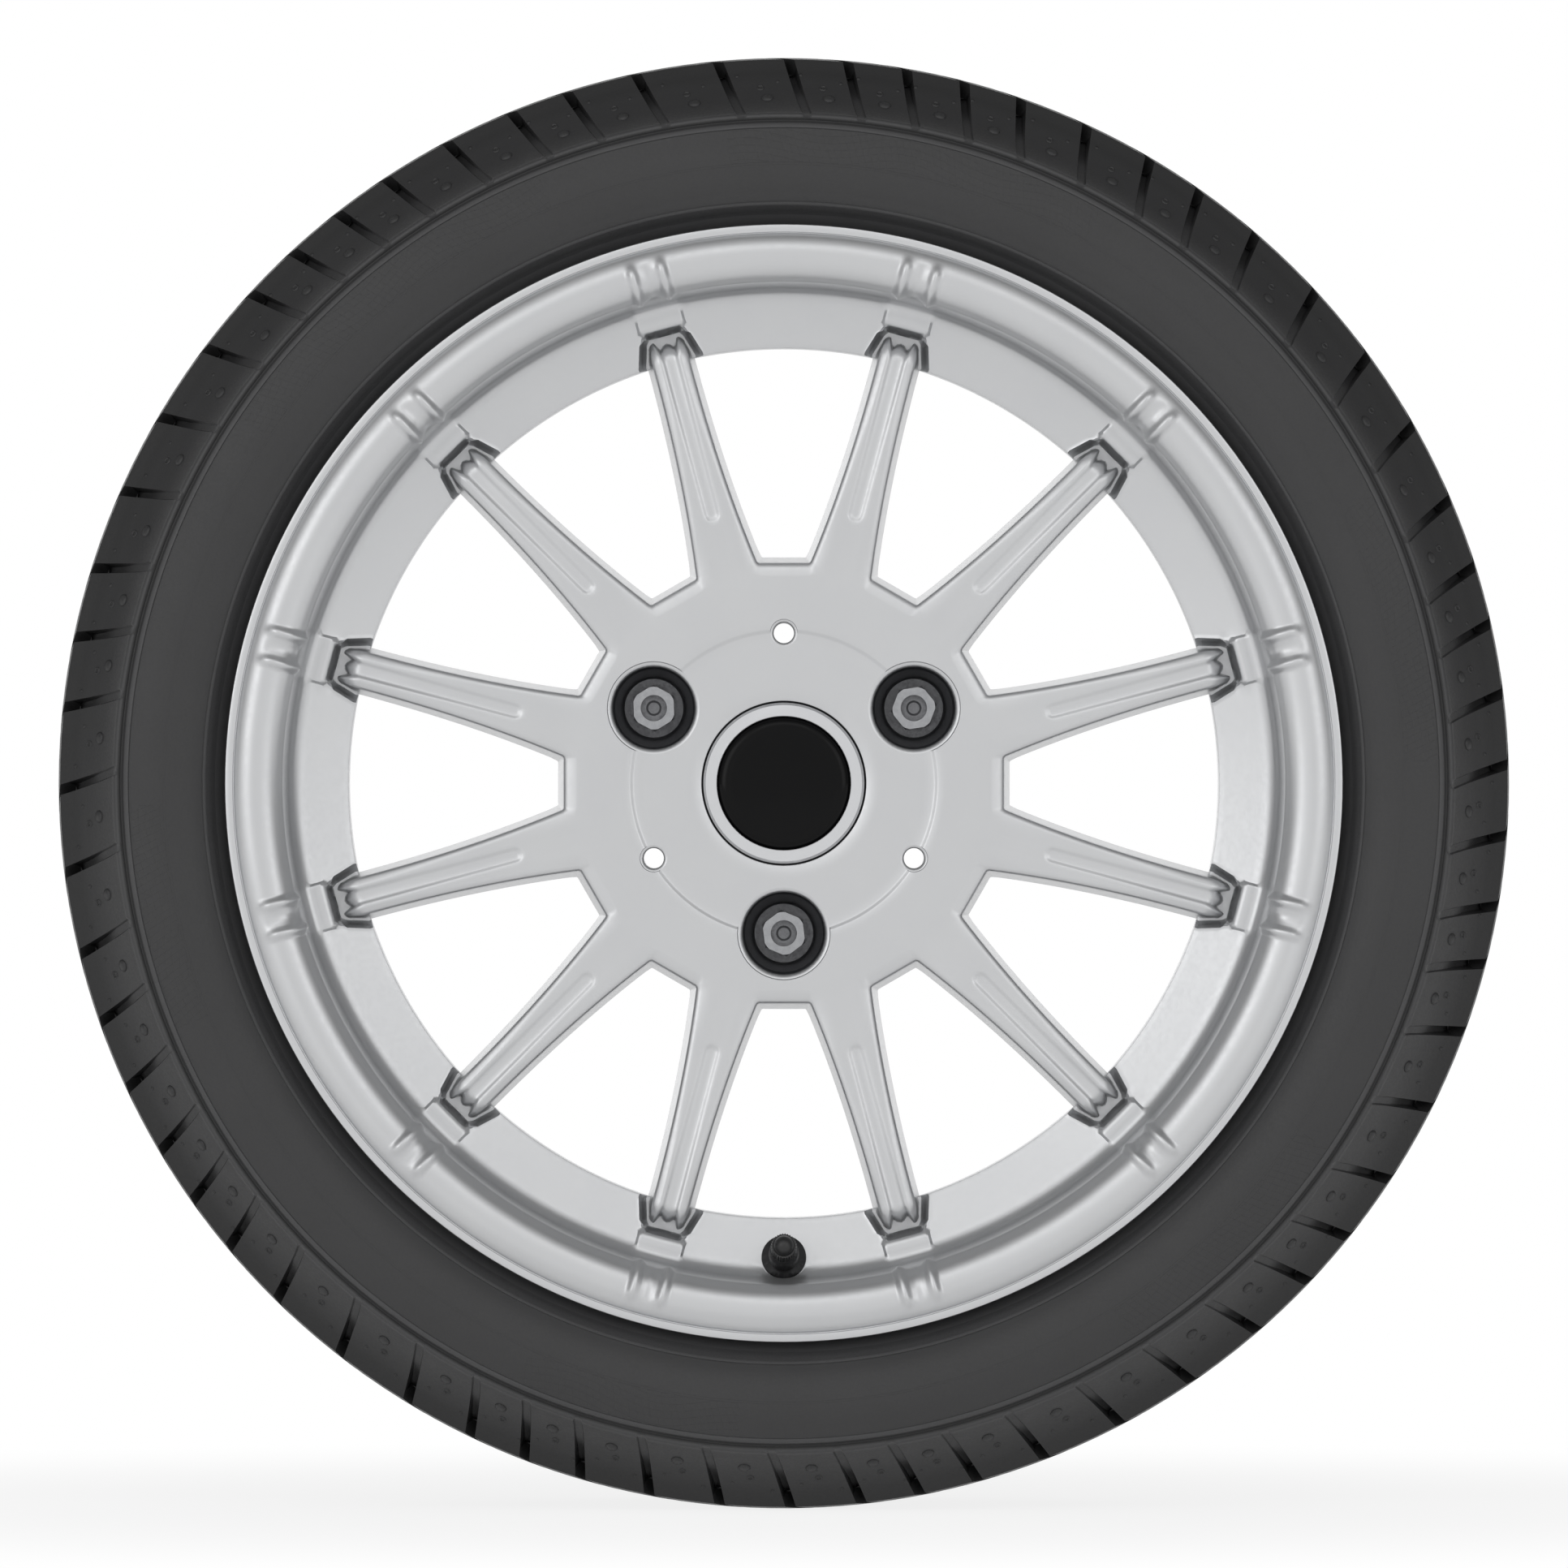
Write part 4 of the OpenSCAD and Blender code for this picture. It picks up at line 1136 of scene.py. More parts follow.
    def half_spoke(self, bm: BMesh) -> None:
        """Lay all sheets of the sector between a spoke's middle and a window's middle.

        Args:
            bm: the mesh that takes them.
        """
        rows, hub_index, end_index = self.front_rows()
        stations = self.spoke_stations()
        rings = self.wall_rings()
        end = rows[end_index]
        tops = [rows[hub_index][j][2] for j in range(self.cols - 1, self.top - 1, -1)]
        tops += [rows[hub_index + 1 + k][self.top][2] for k in range(2 + len(stations))]
        wall: list[list[Point]] = []
        for out, low, z in rings:
            line = self.window_line(out, stations)
            wall.append([(u, v, top - low if low is not None else z) for (u, v), top in zip(line, tops)])
        deep: list[Point] = []
        edge: list[Point] = []
        middle = self.window_line(4.0, stations)
        for lift, store, pull in ((1.0, deep, 0.0), (0.0, edge, 1.0)):
            for k, (mu, mv) in enumerate(middle):
                z = self.under_z(math.hypot(mu, mv)) + lift
                out = self.edge_r + (self.face_z - self.edge_r - z) * self.draft - pull
                u, v = self.window_line(out, stations)[k]
                store.append((u, v, z))
        wall += [deep, edge]
        # the strip inside the barrel, from the outer end of the window down to the spokes' back
        base = [end[j] for j in range(self.flank, self.cols)]
        strip = [base]
        for r, low in ((self.barrel_r + 0.35, 0.35), (self.barrel_r, 1.2)):
            strip.append([self.at_radius(p, r, p[2] - low) for p in base])
        back_u = self.barrel_r + 0.16
        last = [self.at_radius(p, back_u, self.back_z + 1.0) for p in base]
        drop = self.face_z - self.edge_r - self.back_z - 1.0
        end_u = stations[-1]
        v_deep = self.edge_v(end_u) + self.edge_r + drop * self.draft
        last[0] = (math.sqrt(back_u**2 - v_deep**2), v_deep, self.back_z + 1.0)
        for k in (1, 2):
            p = strip[k][0]
            v = self.edge_v(end_u) + self.edge_r + (self.face_z - self.edge_r - p[2]) * self.draft
            strip[k][0] = (math.sqrt(max(0.0, (p[0] ** 2 + p[1] ** 2) - v * v)), v, p[2])
        strip.append(last)
        # the window's wall ends on the spoke's nose row and on that strip
        for k in range(6):
            wall[k].append(end[self.top + k])
        wall[6].append(strip[1][0])
        wall[7].append(strip[2][0])
        wall[8].append(last[0])
        v_edge = v_deep - 1.0
        under_edge = (math.sqrt(back_u**2 - v_edge**2), v_edge, self.back_z)
        wall[9].append(under_edge)
        # the last row inside the barrel, under the spoke and beside it
        close = []
        for j in range(self.cols):
            if j <= self.top:
                v = self.lateral(end_u)[j] * v_edge / self.edge_v(end_u)
                close.append((math.sqrt(back_u**2 - v * v), v, self.back_z))
            elif j <= self.flank:
                close.append(last[0])
            else:
                close.append(last[j - self.flank])
        rows.append(close)
        # the back of the spoke
        for k in range(len(stations) + 1, -1, -1):
            u, v, z = wall[9][self.cols - 1 - self.top + 1 + k]
            back: Row = [(u, w * v / self.lateral(u)[-1], z) for w in self.lateral(u)]
            rows.append(back + [None] * (self.cols - self.top - 1))
        # the back of the hub
        chain = wall[9][: self.cols - self.top]
        rear = list(reversed(chain))
        u8, v8, z8 = rear[0]
        inner = [(u8, w * v8 / self.lateral(u8)[-1], z8) for w in self.lateral(u8)[:-1]]
        edge_row = inner + rear
        rows.append(edge_row)
        plan = [(p[0], p[1]) for p in edge_row]
        rear_profile = (
            (79.0, 34.5), (75.0, 31.0), (73.6, 29.6), (72.6, 28.3), (71.8, 28.0), (56.0, 28.0), (34.0, 28.0),
        )
        for r, z in rear_profile:
            rows.append(list(self.round_row(plan, r, z)))
        sheet(bm, rows, ring=True)
        sheet(bm, wall)
        sheet(bm, strip)

    @staticmethod
    def at_radius(point: Point, r: float, z: float) -> Point:
        """Return a point moved to a radius and a height, at its own angle."""
        k = r / math.hypot(point[0], point[1])
        return (point[0] * k, point[1] * k, z)

    def cutter(
        self, name: str, outline: Sequence[Pair], place: Matrix, finishes: Sequence[Material]
    ) -> Object:
        """Return a turned tool that a hole is cut with.

        Args:
            name: the tool's name.
            outline: its section, from the axis around to the axis.
            place: where it stands.
            finishes: material of the rounded mouth, then of the hole below it.

        Returns:
            The tool as an object.
        """
        obj = piece(name, turned(outline, 48, closed=False))
        for material in finishes:
            obj.data.materials.append(material)
        mouth = -(self.face_z - self.step_d - 1.9) * MM
        for face in obj.data.polygons:
            face.material_index = 0 if face.center.y < mouth else 1
        obj.data.transform(place)
        return obj

    def cutters(self, dark: Material, silver: Material) -> list[Object]:
        """Return the tools for bolt pockets, small holes and the valve's hole.

        Args:
            dark: painted shade for the walls of the bolt pockets.
            silver: paint of everything else.

        Returns:
            The tools as objects.
        """
        tools = []
        front = self.face_z - self.step_d

        def mouth(r: float, rounding: float, angles: Sequence[float]) -> list[Pair]:
            """Return the rounded mouth of a hole.

            Args:
                r: radius of the hole.
                rounding: radius of its mouth.
                angles: degrees at which the points lie.

            Returns:
                Radius and height of each point.
            """
            turns = [math.radians(a) for a in angles]
            return [
                (r + rounding * (1 - math.cos(a)), front - rounding + rounding * math.sin(a)) for a in turns
            ]

        pocket = [
            (0.0, 20.0), (7.3, 20.0), (7.3, 42.25), (9.06, 42.25), (11.25, 46.05), (14.6, 46.05),
            (15.0, 46.45), (15.4, front - 2.0), *mouth(15.4, 1.9, (0, 18, 36, 54, 72, 84)),
            (17.3, front + 0.3), (18.6, front + 6.0), (0.0, front + 6.0),
        ]
        hole = [
            (0.0, 20.0), (3.8, 20.0), (3.8, front - 1.5), *mouth(3.8, 1.3, (0, 22, 45, 68, 84)),
            (5.1, front + 0.3), (6.0, front + 6.0), (0.0, front + 6.0),
        ]
        # below their rounded mouths the bolt pockets take painted shade; the small holes stay silver
        for i in range(3):
            for outline, angle, deep in ((pocket, 60.0 + 120.0 * i, dark), (hole, 120.0 * i, silver)):
                a = math.radians(angle)
                reach = self.pcd_r * MM
                place = Matrix.Translation((reach * math.sin(a), 0.0, reach * math.cos(a)))
                tools.append(self.cutter(f"tool_{len(tools)}", outline, place, (silver, deep)))
        valve = [
            (0.0, -40.0), (11.25, -40.0), (11.25, -4.0), (5.75, -4.0), (5.75, 0.0), (8.7, 0.0), (8.7, 10.2),
            (0.0, 10.2),
        ]
        tools.append(self.cutter("tool_valve", valve, valve_place(), (silver, silver)))
        return tools

    def build(self, paints: Paintbox) -> Object:
        """Build the casting and dress it.

        Args:
            paints: where its materials come from.

        Returns:
            The piece.
        """
        bm = bmesh.new()
        self.half_spoke(bm)
        bmesh.ops.remove_doubles(bm, verts=bm.verts, dist=0.004 * MM)
        bmesh.ops.mirror(bm, geom=bm.verts[:] + bm.edges[:] + bm.faces[:], matrix=Matrix.Identity(4),
                         merge_dist=0.004 * MM, axis="X")
        turn = Matrix.Rotation(math.radians(self.pitch / 2.0), 3, "Y")
        bmesh.ops.rotate(bm, verts=bm.verts, cent=(0, 0, 0), matrix=turn)
        bmesh.ops.spin(bm, geom=bm.verts[:] + bm.edges[:] + bm.faces[:], cent=(0, 0, 0), axis=(0, 1, 0),
                       angle=2 * math.pi * 11 / 12, steps=11, use_duplicate=True)
        close_up(bm)
        loose = [e for e in bm.edges if len(e.link_faces) != 2]
        LOG.info("casting: %d faces, %d open edges", len(bm.faces), len(loose))
        obj = piece("wheel_casting", bm)
        # the second paint is painted shade, for the bolt pockets and for the recess of the centre cap
        silver, dark = paints.get(SILVER_PAINT), paints.get(PAINTED_SHADE)
        obj.data.materials.append(silver)
        obj.data.materials.append(dark)
        tools = self.cutters(dark, silver)
        for tool in tools:
            cut = obj.modifiers.new(tool.name, "BOOLEAN")
            cut.object = tool
            cut.operation = "DIFFERENCE"
            cut.solver = "EXACT"
            cut.material_mode = "TRANSFER"
        bpy.context.view_layer.update()
        done = bpy.data.meshes.new_from_object(obj.evaluated_get(bpy.context.evaluated_depsgraph_get()))
        obj.modifiers.clear()
        old = obj.data
        obj.data = done
        bpy.data.meshes.remove(old)
        for tool in tools:
            bpy.data.objects.remove(tool)
        # painted shade: the walls of the recess around the centre cap take the dark paint
        for face in done.polygons:
            if math.hypot(face.center.x, face.center.z) < (self.cap_r + 0.03) * MM:
                face.material_index = 1
        done.shade_smooth()
        done.set_sharp_from_angle(angle=math.radians(38.0))
        dress(obj, Body.WHEEL, [])
        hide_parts("wheel")
        return obj


def valve_place() -> Matrix:
    """Return the place of the valve: its own axis, with the dish at height 0.

    Returns:
        The place in metres.
    """
    at = 176.8
    foot_r, foot_z, fall = 183.8, 67.55, 14.0
    height = foot_z - (foot_r - at) * math.tan(math.radians(fall))
    turn = Matrix.Rotation(math.radians(-fall), 4, "X")
    return Matrix.Translation((0.0, -height * MM, -at * MM)) @ turn


# The tyre


@dataclass(frozen=True)
class Station:
    """One row of the tyre's outer section."""

    r: float
    z: float
    depth: float = 0.0
    lean: float = 0.0


@dataclass
class Tyre:
    """The tyre: beads, sidewalls with their rings, shoulder blocks and tread."""

    # how many units of the pitch each block takes, as in the solids
    order: str = "5555665677776566665677656777655666655677655666777667776555665676"
    start: float = 2.0
    slot_w: float = 3.4
    slot_r: float = 258.0
    groove_floor: float = 263.5
    tread_r: float = 271.0
    # how far the slots have turned around the axle on the tread, in degrees
    tread_lean: float = -4.4

    def section(self) -> list[Station]:
        """Return the half section from bead to tread middle.

        Returns:
            Its stations.
        """
        line = [Station(189.9, 63.6), Station(190.15, 76.05)]
        line += [Station(r, z) for r, z in arc((196.6, 76.05), 6.45, 160, 90, 4)]
        side = [
            (202.3, 82.5), (206.4, 81.4), (209.0, 82.4), (211.4, 84.0), (212.8, 87.4), (213.9, 90.6),
            (214.6, 92.3), (214.9, 93.1), (215.7, 93.5), (216.1, 93.2), (217.6, 94.5), (220.0, 95.9),
            (224.0, 97.1), (229.0, 97.9), (234.0, 97.9), (239.0, 97.0), (242.4, 95.9), (243.1, 95.8),
            (243.5, 96.25), (244.9, 95.85), (245.25, 95.2), (245.7, 94.1), (246.3, 93.9), (246.9, 94.3),
        ]
        line += [Station(r, z) for r, z in side]
        line += [Station(247.5, 94.55), Station(248.2, 94.3, 0.35)]
        for k, (r, z) in enumerate(self.block_line()):
            line.append(Station(r, z, 0.7 + 6.3 * ease((r - 254.0) / 14.0), self.block_lean(k)))
        line += [
            Station(270.5, 58.0, 6.4, -2.6), Station(270.8, 52.0, 5.6, -3.6),
            Station(270.9, 47.0, 5.0, -4.3), Station(270.7, 46.4, 4.6, self.tread_lean),
            Station(264.0, 45.8, 0.6, self.tread_lean),
        ]
        floor, top = self.groove_floor, self.tread_r
        ribs = [
            (floor, 45.2), (floor, 38.8), (floor + 0.5, 38.2), (top - 0.25, 37.5), (top, 37.0),
            (top, 19.0), (top - 0.2, 18.4), (floor + 0.5, 17.8), (floor, 17.2), (floor, 10.8),
            (floor + 0.5, 10.2), (top - 0.2, 9.6), (top, 9.0),
        ]
        return line + [Station(r, z, 0.0, self.tread_lean) for r, z in ribs]

    def block_line(self) -> list[Pair]:
        """Return the line of the shoulder blocks, from their lower edge to the tread."""
        return crown((248.9, 93.8), (269.8, 64.0), -5.2, 12)

    def block_lean(self, k: int) -> float:
        """Return how far the slots have turned at point k of the block line, in degrees."""
        return -1.6 * (k / 12.0) ** 1.5

    def inner(self) -> list[Station]:
        """Return the half section of the tyre's inside, from tread middle to bead.

        Returns:
            Its stations.
        """
        points = [(256.5, 0.0), (255.5, 52.0), (251.5, 72.0), (240.9, 83.5), (230.4, 90.5), (218.4, 88.5),
                  (205.6, 80.5), (202.1, 68.5), (193.1, 63.0)]
        return [Station(r, z) for r, z in points]

    def columns(self) -> tuple[list[Pair], list[float]]:
        """Return each column's angle with its share of the slot's depth, and the middle of each block.

        Returns:
            Angle and share of each column, then the angle of the middle of each block, in radians.
        """
        order = [int(c) for c in self.order]
        unit = 2 * math.pi / sum(order)
        half = self.slot_w / 2.0
        slot = [(-half - 1.0, 0.0), (-half - 0.2, 0.0), (-half + 0.3, 0.93), (0.0, 1.0), (half - 0.3, 0.93),
                (half + 0.2, 0.0), (half + 1.0, 0.0)]
        angles: list[Pair] = []
        middles: list[float] = []
        at = math.radians(self.start)
        for size in order:
            angles += [(at + off / self.slot_r, deep) for off, deep in slot]
            span = size * unit - (2 * half + 2.0) / self.slot_r
            angles += [(at + (half + 1.0) / self.slot_r + span * k / 3.0, 0.0) for k in (1, 2)]
            middles.append(at + size * unit / 2.0)
            at += size * unit
        return angles, middles

    def mark(self, kind: Mark) -> BMesh:
        """Return one raised mark of a shoulder block, around the origin and facing +Z.

        Args:
            kind: which mark.

        Returns:
            Its mesh in metres.
        """
        bm = bmesh.new()
        if kind is Mark.BUMP:
            bmesh.ops.create_icosphere(bm, subdivisions=2, radius=2.4 * MM)
            bmesh.ops.scale(bm, verts=bm.verts, vec=(1.0, 1.0, 0.42))
        elif kind is Mark.RING:
            bmesh.ops.create_circle(bm, segments=5, radius=0.4 * MM)
            bmesh.ops.rotate(bm, verts=bm.verts, cent=(0, 0, 0), matrix=Matrix.Rotation(math.pi / 2, 3, "X"))
            bmesh.ops.translate(bm, verts=bm.verts, vec=(1.05 * MM, 0, 0))
            bmesh.ops.spin(
                bm, geom=bm.verts[:] + bm.edges[:], cent=(0, 0, 0), axis=(0, 0, 1), angle=2 * math.pi,
                steps=10, use_merge=True,
            )
        else:
            bmesh.ops.create_icosphere(bm, subdivisions=1, radius=0.85 * MM)
            bmesh.ops.scale(bm, verts=bm.verts, vec=(1.0, 1.0, 0.5))
        return bm

    def raised(self, bm: BMesh, middles: Sequence[float]) -> None:
        """Add the round bump, the small ring and the two pips of every shoulder block, on both sides.

        Args:
            bm: the tyre's mesh.
            middles: angle of the middle of each block, from the side in the direction of rising angles.
        """
        line = self.block_line()
        marks = (
            (254.9, 0.0, Mark.BUMP), (258.6, -0.25, Mark.RING), (262.6, 1.35, Mark.PIP),
            (262.9, -1.75, Mark.PIP),
        )
        for r_mark, shift, kind in marks:
            r, z = min(line, key=lambda p: abs(p[0] - r_mark))
            k = line.index((r, z))
            (r0, z0), (r1, z1) = line[k - 1], line[k + 1]
            tilt = math.atan2(z0 - z1, r1 - r0)
            lean = self.block_lean(k)
            for front in (1.0, -1.0):
                one = self.mark(kind)
                face = Matrix.Rotation(math.pi / 2 * front, 4, "X")
                bmesh.ops.transform(one, matrix=face, verts=one.verts)
                lie = Matrix.Rotation(-front * tilt, 3, "X")
                bmesh.ops.rotate(one, verts=one.verts, cent=(0, 0, 0), matrix=lie)
                bmesh.ops.translate(one, verts=one.verts, vec=(0.0, -front * z * MM, r * MM))
                bmesh.ops.recalc_face_normals(one, faces=one.faces)
                mesh = bpy.data.meshes.new("mark")
                one.to_mesh(mesh)
                one.free()
                at = math.pi / 2.0
                for middle in middles:
                    goal = math.pi / 2.0 - middle - math.radians(lean + shift)
                    mesh.transform(Matrix.Rotation(at - goal, 4, "Y"))
                    at = goal
                    bm.from_mesh(mesh)
                bpy.data.meshes.remove(mesh)

    def build(self, paints: Paintbox) -> Object:
        """Build the tyre and dress it.

        Args:
            paints: where its materials come from.

        Returns:
            The piece.
        """
        outer = self.section()
        inner = self.inner()
        rows = outer + [Station(s.r, -s.z, s.depth, s.lean) for s in reversed(outer)]
        rows += [Station(s.r, -s.z) for s in reversed(inner)] + inner[1:]
        angles, middles = self.columns()
        bm = bmesh.new()
        grid: list[list[Point]] = []
        for i, row in enumerate(rows):
            last, following = rows[i - 1], rows[(i + 1) % len(rows)]
            tr, tz = following.r - last.r, following.z - last.z
            length = math.hypot(tr, tz)
            nr, nz = tz / length, -tr / length
            line = []
            for a, deep in angles:
                rr, zz = row.r + nr * row.depth * deep, row.z + nz * row.depth * deep
                turn = a + math.radians(row.lean)
                line.append((rr * math.cos(turn), rr * math.sin(turn), zz))
            line.append(line[0])
            grid.append(line)
        sheet(bm, grid, ring=True)
        close_up(bm)
        self.raised(bm, middles)
        LOG.info("tyre: %d triangles", sum(len(f.verts) - 2 for f in bm.faces))
        obj = piece("tyre_moulding", bm, 50.0)
        dress(obj, Body.WHEEL, [paints.get(TYRE_RUBBER)])
        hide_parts("tyre")
        return obj


# Small pieces


@dataclass
class CentreCap:
    """The silver cap with its bare black disc."""

    cap_r: float = 30.0
    disc_r: float = 25.0
    face_z: float = 68.05

    def build(self, paints: Paintbox) -> None:
        """Build and dress shell and disc.

        Args:
            paints: where the materials come from.
        """
        shell = dressed_copy("cap_body", "centre_cap_shell", 0.35)
        dress(shell, Body.WHEEL, [paints.get(SILVER_PLASTIC), paints.get(PAINTED_SHADE)])
        # painted shade: the shell's side, hidden in the gap behind its front, takes the dark paint
        for face in shell.data.polygons:
            if abs(face.normal.y) < 0.5 and face.center.y > -(self.face_z - 0.95) * MM:
                face.material_index = 1
        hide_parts("cap_body")
        z = self.face_z
        dome = [(r, z + 1.62 - 0.3 * (r / 20.0) ** 2) for r in (0.0, 4.0, 8.0, 12.0, 16.0, 19.0, 20.2)]
        edge = crown((20.6, z + 1.25), (self.disc_r - 0.05, z - 1.2), 0.75, 10)
        outline = dome + edge + [(self.disc_r - 0.05, z - 2.38), (0.0, z - 2.38)]
        disc = piece("centre_cap_disc", turned(outline, 128, closed=False))
        dress(disc, Body.WHEEL, [paints.get(BLACK_ACRYLIC)])
        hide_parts("cap_disc")


@dataclass
class WheelBolts:
    """The three flanged hexagon bolts."""

    count: int = 3

    def build(self, paints: Paintbox) -> None:
        """Round the edges of each bolt and coat it.

        Args:
            paints: where the materials come from.
        """
        for i in range(1, self.count + 1):
            bolt = dressed_copy(f"bolt_{i}", f"wheel_bolt_{i}", 0.35)
            dress(bolt, Body.WHEEL, [paints.get(ZINC_FLAKE), paints.get(HEAD_FACE_STEEL)])
            # the front faces of each head take the lighter steel
            top = min(v.co.y for v in bolt.data.vertices) + 0.05 * MM
            for face in bolt.data.polygons:
                if face.center.y < top:
                    face.material_index = 1
            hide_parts(f"bolt_{i}")


@dataclass
class Valve:
    """The rubber valve with its screw cap."""

    def build(self, paints: Paintbox) -> None:
        """Round the rubber body and the cap.

        Args:
            paints: where the materials come from.
        """
        rubber = dressed_copy("valve_rubber", "valve_rubber_body", 0.4, 50.0)
        dress(rubber, Body.WHEEL, [paints.get(VALVE_RUBBER)])
        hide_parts("valve_rubber")
        cap = dressed_copy("valve_cap", "valve_screw_cap", 0.1, 50.0)
        dress(cap, Body.CAP, [paints.get(BLACK_NYLON)])
        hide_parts("valve_cap")


@dataclass
class InsidePieces:
    """CAD nodes that stay as they are and only get their finish."""

    finishes: dict[str, Finish] = field(default_factory=lambda: {
        "cap_wire": SPRING_STEEL, "valve_stem": BRASS, "core_body": BRASS, "core_seal": RED_SILICONE,
        "core_pin": BRASS, "core_spring": SPRING_STEEL, "valve_cap_seal": VALVE_RUBBER,
    })

    def build(self, paints: Paintbox) -> None:
        """Finish each node.

        Args:
            paints: where the materials come from.
        """
        for node, finish in self.finishes.items():
            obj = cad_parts[node]
            material = paints.get(finish)
            if obj.material_slots:
                for slot in obj.material_slots:
                    slot.material = material
            else:
                obj.data.materials.append(material)
            LOG.info("%s: %s", node, finish.name)


# Studio


@dataclass
class Studio:
    """Floor, backdrop, lamps, world and camera."""

    ground: float = -0.271
    around: tuple[Pair, ...] = (
        (0.01, 1.1), (0.035, 1.22), (0.1, 1.2), (0.19, 0.8), (0.29, 0.36), (0.4, 0.13), (0.5, 0.12),
        (0.76, 0.12), (0.86, 0.9), (0.94, 1.35),
    )
    # level at the middle, how it rises towards both sides, and how far right is dimmer than left
    middle: float = 0.85
    sides: float = 0.93
    tilt: float = -0.2
    # name, place and size in metres, and power in watts
    lamps: tuple[tuple[str, Point, Pair, float], ...] = (
        ("softbox_left", (-3.0, -4.2, 0.9), (2.6, 3.2), 14.0),
        ("softbox_right", (3.0, -4.2, 0.9), (2.6, 3.2), 10.0),
        ("softbox_front", (0.0, -4.6, 3.2), (3.0, 1.8), 8.0),
    )
    camera_place: Point = (0.00006, -7.1436, -0.0003)
    focal: float = 436.0

    def plain(self, name: str) -> Material:
        """Return a white matt floor that takes a soft shadow near the wheel and is pure white further off.

        Args:
            name: name of the material.

        Returns:
            The material.
        """
        material = bpy.data.materials.new(name)
        material.use_nodes = True
        tree = material.node_tree
        tree.nodes.clear()
        out = add_node(tree, "ShaderNodeOutputMaterial")
        matt = add_node(tree, "ShaderNodeBsdfDiffuse", {"Color": (0.92, 0.92, 0.92, 1.0)})
        glow = add_node(tree, "ShaderNodeEmission", {"Color": (1.0, 1.0, 1.0, 1.0), "Strength": 1.0})
        path = add_node(tree, "ShaderNodeLightPath")
        through = calc(tree, "MAXIMUM", path.outputs["Is Glossy Ray"], path.outputs["Is Transmission Ray"])
        seen = calc(tree, "MAXIMUM", path.outputs["Is Camera Ray"], through)
        place = add_node(tree, "ShaderNodeTexCoord").outputs["Object"]
        reach = add_node(tree, "ShaderNodeVectorMath", {0: place}, operation="LENGTH").outputs["Value"]
        white = add_node(
            tree, "ShaderNodeMapRange",
            {"Value": reach, "From Min": 0.3, "From Max": 0.75, "To Min": 0.84, "To Max": 1.0},
            interpolation_type="SMOOTHSTEP",
        )
        share = calc(tree, "MULTIPLY", seen, white.outputs["Result"])
        mix = add_node(tree, "ShaderNodeMixShader", {0: share, 1: matt.outputs[0], 2: glow.outputs[0]})
        tree.links.new(mix.outputs[0], out.inputs["Surface"])
        return material

    def lamp(self, name: str, place: Point, size: Pair, watts: float) -> None:
        """Add a softbox that faces the wheel.

        Args:
            name: its name.
            place: where it stands, in metres.
            size: its width and height in metres.
            watts: its power.
        """
        data = bpy.data.lights.new(name, "AREA")
        data.shape = "RECTANGLE"
        data.size, data.size_y = size
        data.energy = watts
        obj = bpy.data.objects.new(name, data)
        bpy.context.scene.collection.objects.link(obj)
        aim = Vector((0.0, -0.05, 0.0)) - Vector(place)
        obj.matrix_world = Matrix.Translation(place) @ aim.to_track_quat("-Z", "Y").to_matrix().to_4x4()

    def plane(self, name: str, matrix: Matrix, size: float, material: Material) -> None:
        """Add a flat surface of the studio.

        Args:
            name: its name.
            matrix: its place.
            size: half its width in metres.
            material: what it is made of.
        """
        bm = bmesh.new()
        bmesh.ops.create_grid(bm, x_segments=1, y_segments=1, size=size)
        bmesh.ops.transform(bm, matrix=matrix, verts=bm.verts)
        obj = piece(name, bm)
        obj.data.materials.append(material)

    def world(self) -> None:
        """Make the surroundings: white behind the wheel, bright in front of it, dim at its sides."""
        world = bpy.data.worlds.new("studio")
        bpy.context.scene.world = world
        world.use_nodes = True
        tree = world.node_tree
        tree.nodes.clear()
        out = add_node(tree, "ShaderNodeOutputWorld")
        path = add_node(tree, "ShaderNodeLightPath")
        view = add_node(tree, "ShaderNodeTexCoord").outputs["Generated"]
        way = add_node(tree, "ShaderNodeSeparateXYZ", {0: view})
        behind = calc(tree, "MULTIPLY_ADD", way.outputs["Y"], 0.5, 0.5)
        ramp = add_node(tree, "ShaderNodeValToRGB", {0: behind})
        stops = ramp.color_ramp
        stops.elements[0].position, stops.elements[0].color = 0.0, (1.05, 1.05, 1.05, 1.0)
        stops.elements[1].position, stops.elements[1].color = 1.0, (1.4, 1.4, 1.4, 1.0)
        for place, level in self.around:
            stops.elements.new(place).color = (level, level, level, 1.0)
        x = way.outputs["X"]
        sides = calc(tree, "MULTIPLY_ADD", calc(tree, "MULTIPLY", x, x), self.sides, self.middle)
        level = calc(tree, "MULTIPLY_ADD", x, self.tilt, sides)
        around = add_node(tree, "ShaderNodeBackground", {"Color": ramp.outputs["Color"], "Strength": level})
        white = add_node(tree, "ShaderNodeBackground", {"Color": (1, 1, 1, 1), "Strength": 1.0})
        mix = add_node(tree, "ShaderNodeMixShader",
                       {0: path.outputs["Is Camera Ray"], 1: around.outputs[0], 2: white.outputs[0]})
        tree.links.new(mix.outputs[0], out.inputs["Surface"])

    def build(self) -> None:
        """Set up the studio."""
        floor = self.plain("studio_floor_matt")
        self.plane("studio_floor", Matrix.Translation((0, 0, self.ground)), 12.0, floor)
        self.world()
        for name, place, size, watts in self.lamps:
            self.lamp(name, place, size, watts)
        data = bpy.data.cameras.new("camera")
        data.sensor_width = 36.0
        data.lens = self.focal
        data.clip_end = 100.0
        camera = bpy.data.objects.new("camera", data)
        bpy.context.scene.collection.objects.link(camera)
        upright = Matrix.Rotation(math.pi / 2.0, 4, "X")
        camera.matrix_world = Matrix.Translation(self.camera_place) @ upright
        scene = bpy.context.scene
        scene.camera = camera
        scene.view_settings.view_transform = "Standard"


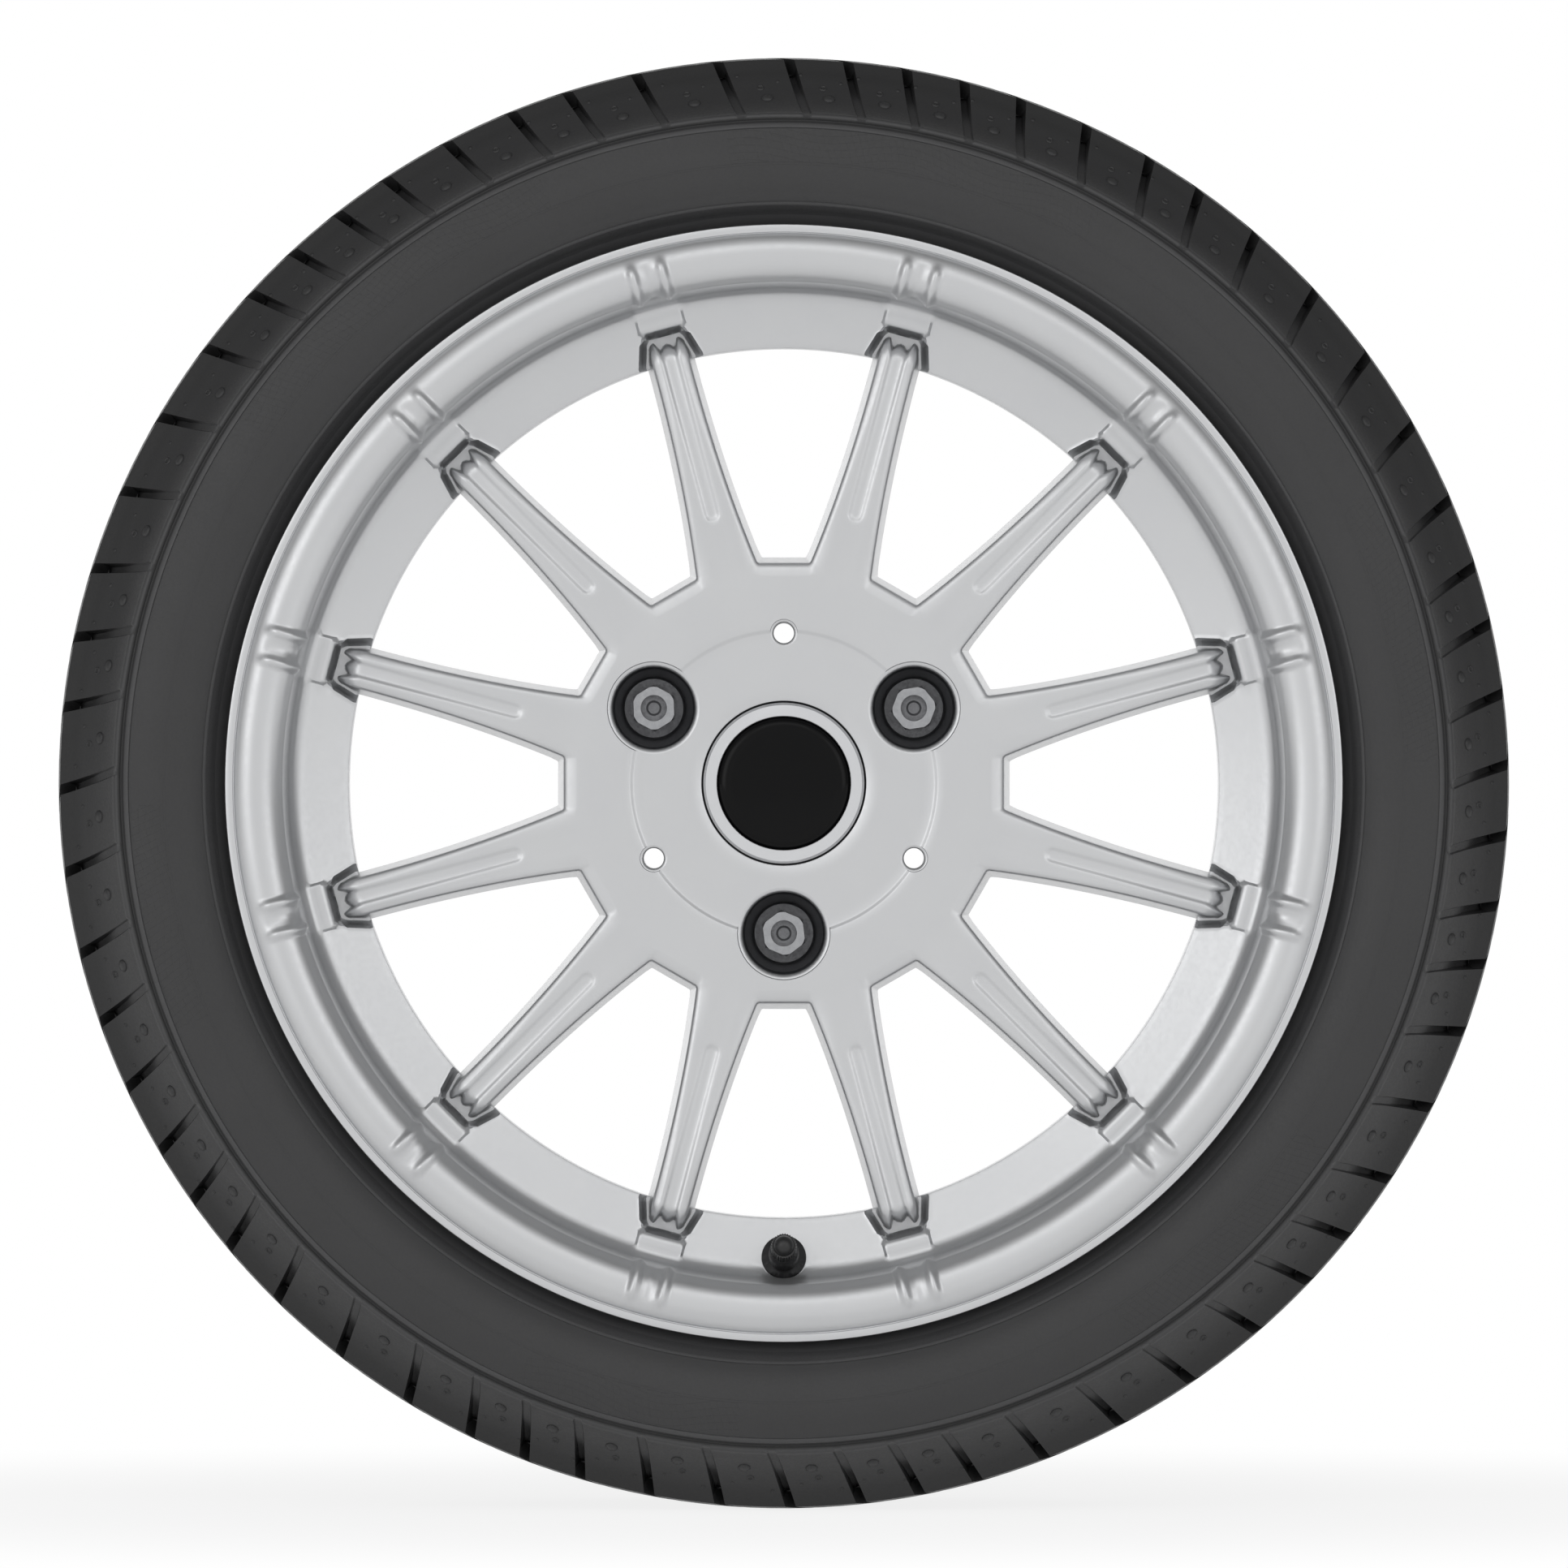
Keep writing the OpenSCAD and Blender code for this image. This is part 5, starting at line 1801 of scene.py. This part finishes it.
def main() -> None:
    """Build every piece in order and write down how large the model is."""
    logging.basicConfig(level=logging.INFO, format="%(message)s")
    paints = Paintbox()
    Studio().build()
    Casting().build(paints)
    Tyre().build(paints)
    CentreCap().build(paints)
    WheelBolts().build(paints)
    Valve().build(paints)
    InsidePieces().build(paints)


if __name__ == "__main__":
    main()
